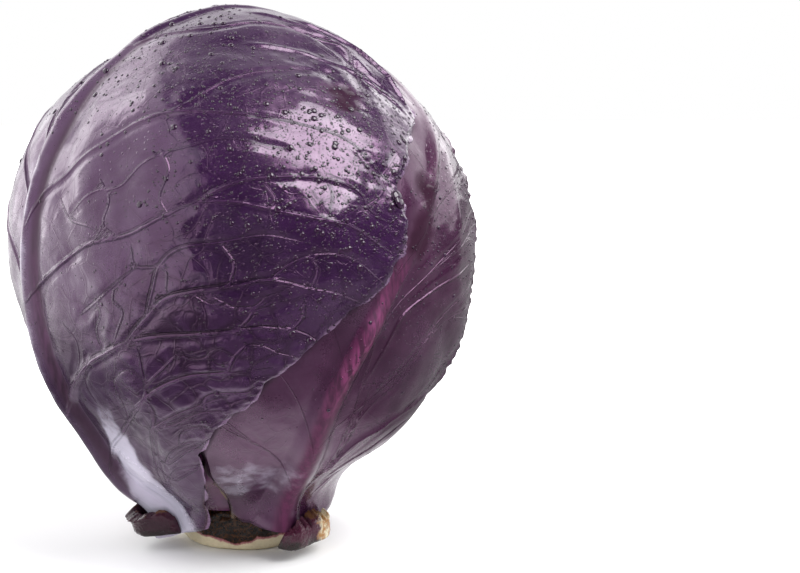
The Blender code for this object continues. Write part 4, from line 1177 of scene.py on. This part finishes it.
def drops_tree():
    """Scatters domes over a skin where it is wet, and makes them real."""
    tree, given = new_group("water_drops", "GeometryNodeTree", {
        "Geometry": ("Geometry",), "String": ("Where wet",), "Int": ("Segments", "Seed"),
        "Material": ("Water",), "Float": ("Drops per square metre", "Smallest", "Largest", "Flatness"),
    }, {"Geometry": ("Geometry",)})
    wet = node(tree, "GeometryNodeInputNamedAttribute", {"Name": given["Where wet"]}, data_type="FLOAT")
    points = node(tree, "GeometryNodeDistributePointsOnFaces", {
        "Mesh": given["Geometry"], "Density": wet.join("POWER", 1.5) * given["Drops per square metre"],
        "Seed": given["Seed"]}, output=None)
    chance = node(tree, "FunctionNodeRandomValue", {"Seed": given["Seed"]}, output=1, data_type="FLOAT")
    size = node(tree, "MapRange", {"Value": chance.join("POWER", 1.8), "To Min": given["Smallest"],
                                   "To Max": given["Largest"]})
    ball = node(tree, "GeometryNodeMeshUVSphere", {"Segments": given["Segments"], "Rings": DROP_RINGS,
                                                   "Radius": 1.0})
    squash = node(tree, "CombineXYZ", {"X": 1.0, "Y": 1.0, "Z": given["Flatness"]})
    dome = node(tree, "GeometryNodeTransform", {"Geometry": ball, "Translation": (0, 0, DROP_RISE),
                                                "Scale": squash})
    placed = node(tree, "GeometryNodeInstanceOnPoints", {"Points": points["Points"], "Instance": dome,
                                                         "Rotation": points["Rotation"], "Scale": size})
    real = node(tree, "GeometryNodeRealizeInstances", {"Geometry": placed})
    smoothed = node(tree, "GeometryNodeSetShadeSmooth", {"Geometry": real})
    fill_group(tree, {"Geometry": node(tree, "GeometryNodeSetMaterial", {
        "Geometry": smoothed, "Material": given["Water"]})})
    return tree


def water_drops(name, skin, tree, values):
    """The drops on one leaf as a plain mesh of their own."""
    piece = new_object(name, skin.data.copy())
    modifier = piece.modifiers.new("drops", "NODES")
    modifier.node_group = tree
    sockets = {item.name: item.identifier for item in tree.interface.items_tree if item.in_out == "INPUT"}
    for key, value in values.items():
        modifier[sockets[key]] = value
    depsgraph = bpy.context.evaluated_depsgraph_get()
    mesh = bpy.data.meshes.new_from_object(piece.evaluated_get(depsgraph))
    spare = piece.data
    piece.modifiers.clear()
    piece.data = mesh
    bpy.data.meshes.remove(spare)
    mesh.name = name
    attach(piece, "root")
    return piece


water = water_finish()
drops = drops_tree()
for name, leaf_name, place, crowd, smallest, largest, flatness, segments, seed in (
        ("fine_drops_left", "leaf_front_left", "wet", 620000.0, 0.12, 0.32, 0.42, 6, 2),
        ("small_drops_left", "leaf_front_left", "wet", 330000.0, 0.20, 0.58, 0.38, 8, 3),
        ("large_drops_left", "leaf_front_left", "wet", 40000.0, 0.50, 1.10, 0.40, 12, 4),
        ("pools_left", "leaf_front_left", "pool", 110000.0, 0.90, 2.40, 0.32, 16, 7),
        ("small_drops_right", "leaf_front_right", "wet", 600000.0, 0.14, 0.40, 0.45, 6, 5),
        ("large_drops_right", "leaf_front_right", "wet", 40000.0, 0.30, 0.70, 0.38, 12, 6)):
    water_drops(name, leaf_pieces[leaf_name], drops, {
        "Where wet": place, "Drops per square metre": crowd, "Smallest": smallest * MM,
        "Largest": largest * MM, "Flatness": flatness, "Segments": segments, "Seed": seed, "Water": water})

# The studio: a pale floor, soft lights left, right, behind and above, and the camera at the
# photograph's angle, aimed to the right of the head.
FLOOR_SIZE, FLOOR_DROP = 2.6, 0.3 * MM


def studio_floor():
    """A floor that glows white beyond the head's shadow, and is dim where the skin's front mirrors it."""
    bpy.ops.mesh.primitive_plane_add(size=FLOOR_SIZE, location=(0, 0, -FLOOR_DROP))
    floor = bpy.context.active_object
    floor.name = "studio_floor"
    material, shader, where = new_material("pale_floor")
    x, _, _ = parts_of(where)
    away = node(where.tree, "VectorMath", {0: where}, output="Value", operation="LENGTH")
    rays = node(where.tree, "LightPath", output=None)
    dull = (between(away, 0.04, 0.12) * between(x, -0.30, -0.08)).or_more(between(x, 0.035, 0.085))
    speck = grain(where, 3.0, 2.0)
    colour = blend(speck, (0.96, 0.96, 0.96), (0.98, 0.98, 0.98))
    colour = blend(rays["Is Glossy Ray"] * dull, colour, (0.10, 0.095, 0.10))
    glow = blend(rays["Is Camera Ray"] * between(away, 0.11, 0.32), (0.0, 0.0, 0.0), (1.0, 1.0, 1.0))
    finish_with(shader, colour, between(speck, 0.0, 1.0, 0.65, 0.7), Emission_Color=glow,
                Emission_Strength=1.0)
    floor.data.materials.append(material)


def softbox(name, place, turned, width, height, radiance):
    """A rectangular soft light at a place, turned in degrees from facing down."""
    light = bpy.data.lights.new(name, "AREA")
    light.shape = "RECTANGLE"
    light.size, light.size_y = width, height
    light.energy = radiance * math.pi * width * height
    stand = new_object(name, light)
    stand.location = place
    stand.rotation_euler = [math.radians(angle) for angle in turned]


def studio_world():
    """White for the camera and for soft light, and dim where the skin mirrors it."""
    world = bpy.data.worlds.new("studio")
    world.use_nodes = True
    rays = node(world.node_tree, "LightPath", output=None)
    colour = blend(rays["Is Camera Ray"], (0.30, 0.30, 0.31), (1.0, 1.0, 1.0))
    colour = blend(rays["Is Glossy Ray"], colour, (0.06, 0.06, 0.07))
    background = world.node_tree.nodes["Background"]
    set_input(background.inputs["Color"], colour)
    background.inputs["Strength"].default_value = 1.0
    bpy.context.scene.world = world


studio_floor()
studio_world()
softbox("left_wall", (-1.0, 0.15, 1.35), (0, -90, 0), 2.8, 4.8, 1.5)
softbox("left_strip", (-0.95, 0.72, 0.75), (0, -90, 0), 1.5, 0.5, 2.4)
softbox("right_window", (0.84, -0.37, 1.19), (40, 0, 66), 1.10, 1.25, 7.5)
softbox("back_wall", (0.25, 1.9, 1.15), (-90, 0, 0), 3.2, 2.2, 1.15)
softbox("right_back", (1.0, 0.75, 0.58), (72, 0, 127), 1.5, 0.72, 1.6)
softbox("top_light", (-0.2, 0.9, 1.5), (-30, 0, 0), 1.6, 1.0, 0.4)

# The picture's width, the focal length and the shift of the aim, in pixels, and the sensor in mm.
PICTURE_WIDTH, FOCAL_PIXELS, RIGHT_PIXELS, DOWN_PIXELS = 800, 2177, 160, 6
SENSOR = 36
VIEW_ELEVATION = math.radians(10)
VIEW_DISTANCE = 0.70
VIEW_TARGET = np.array([0.0, 0.0, 0.0835])
AIM_RIGHT = math.atan2(RIGHT_PIXELS, FOCAL_PIXELS)
AIM_DOWN = math.atan2(DOWN_PIXELS, FOCAL_PIXELS)
camera_data = bpy.data.cameras.new("camera")
camera_data.lens = FOCAL_PIXELS * SENSOR / PICTURE_WIDTH
camera_data.sensor_width = SENSOR
camera = new_object("camera", camera_data)
camera.location = VIEW_TARGET + VIEW_DISTANCE * np.array([0, -math.cos(VIEW_ELEVATION),
                                                          math.sin(VIEW_ELEVATION)])
camera.rotation_euler = (math.radians(90) - VIEW_ELEVATION - AIM_DOWN, 0, -AIM_RIGHT)
bpy.context.scene.camera = camera
bpy.context.scene.view_settings.view_transform = "Standard"
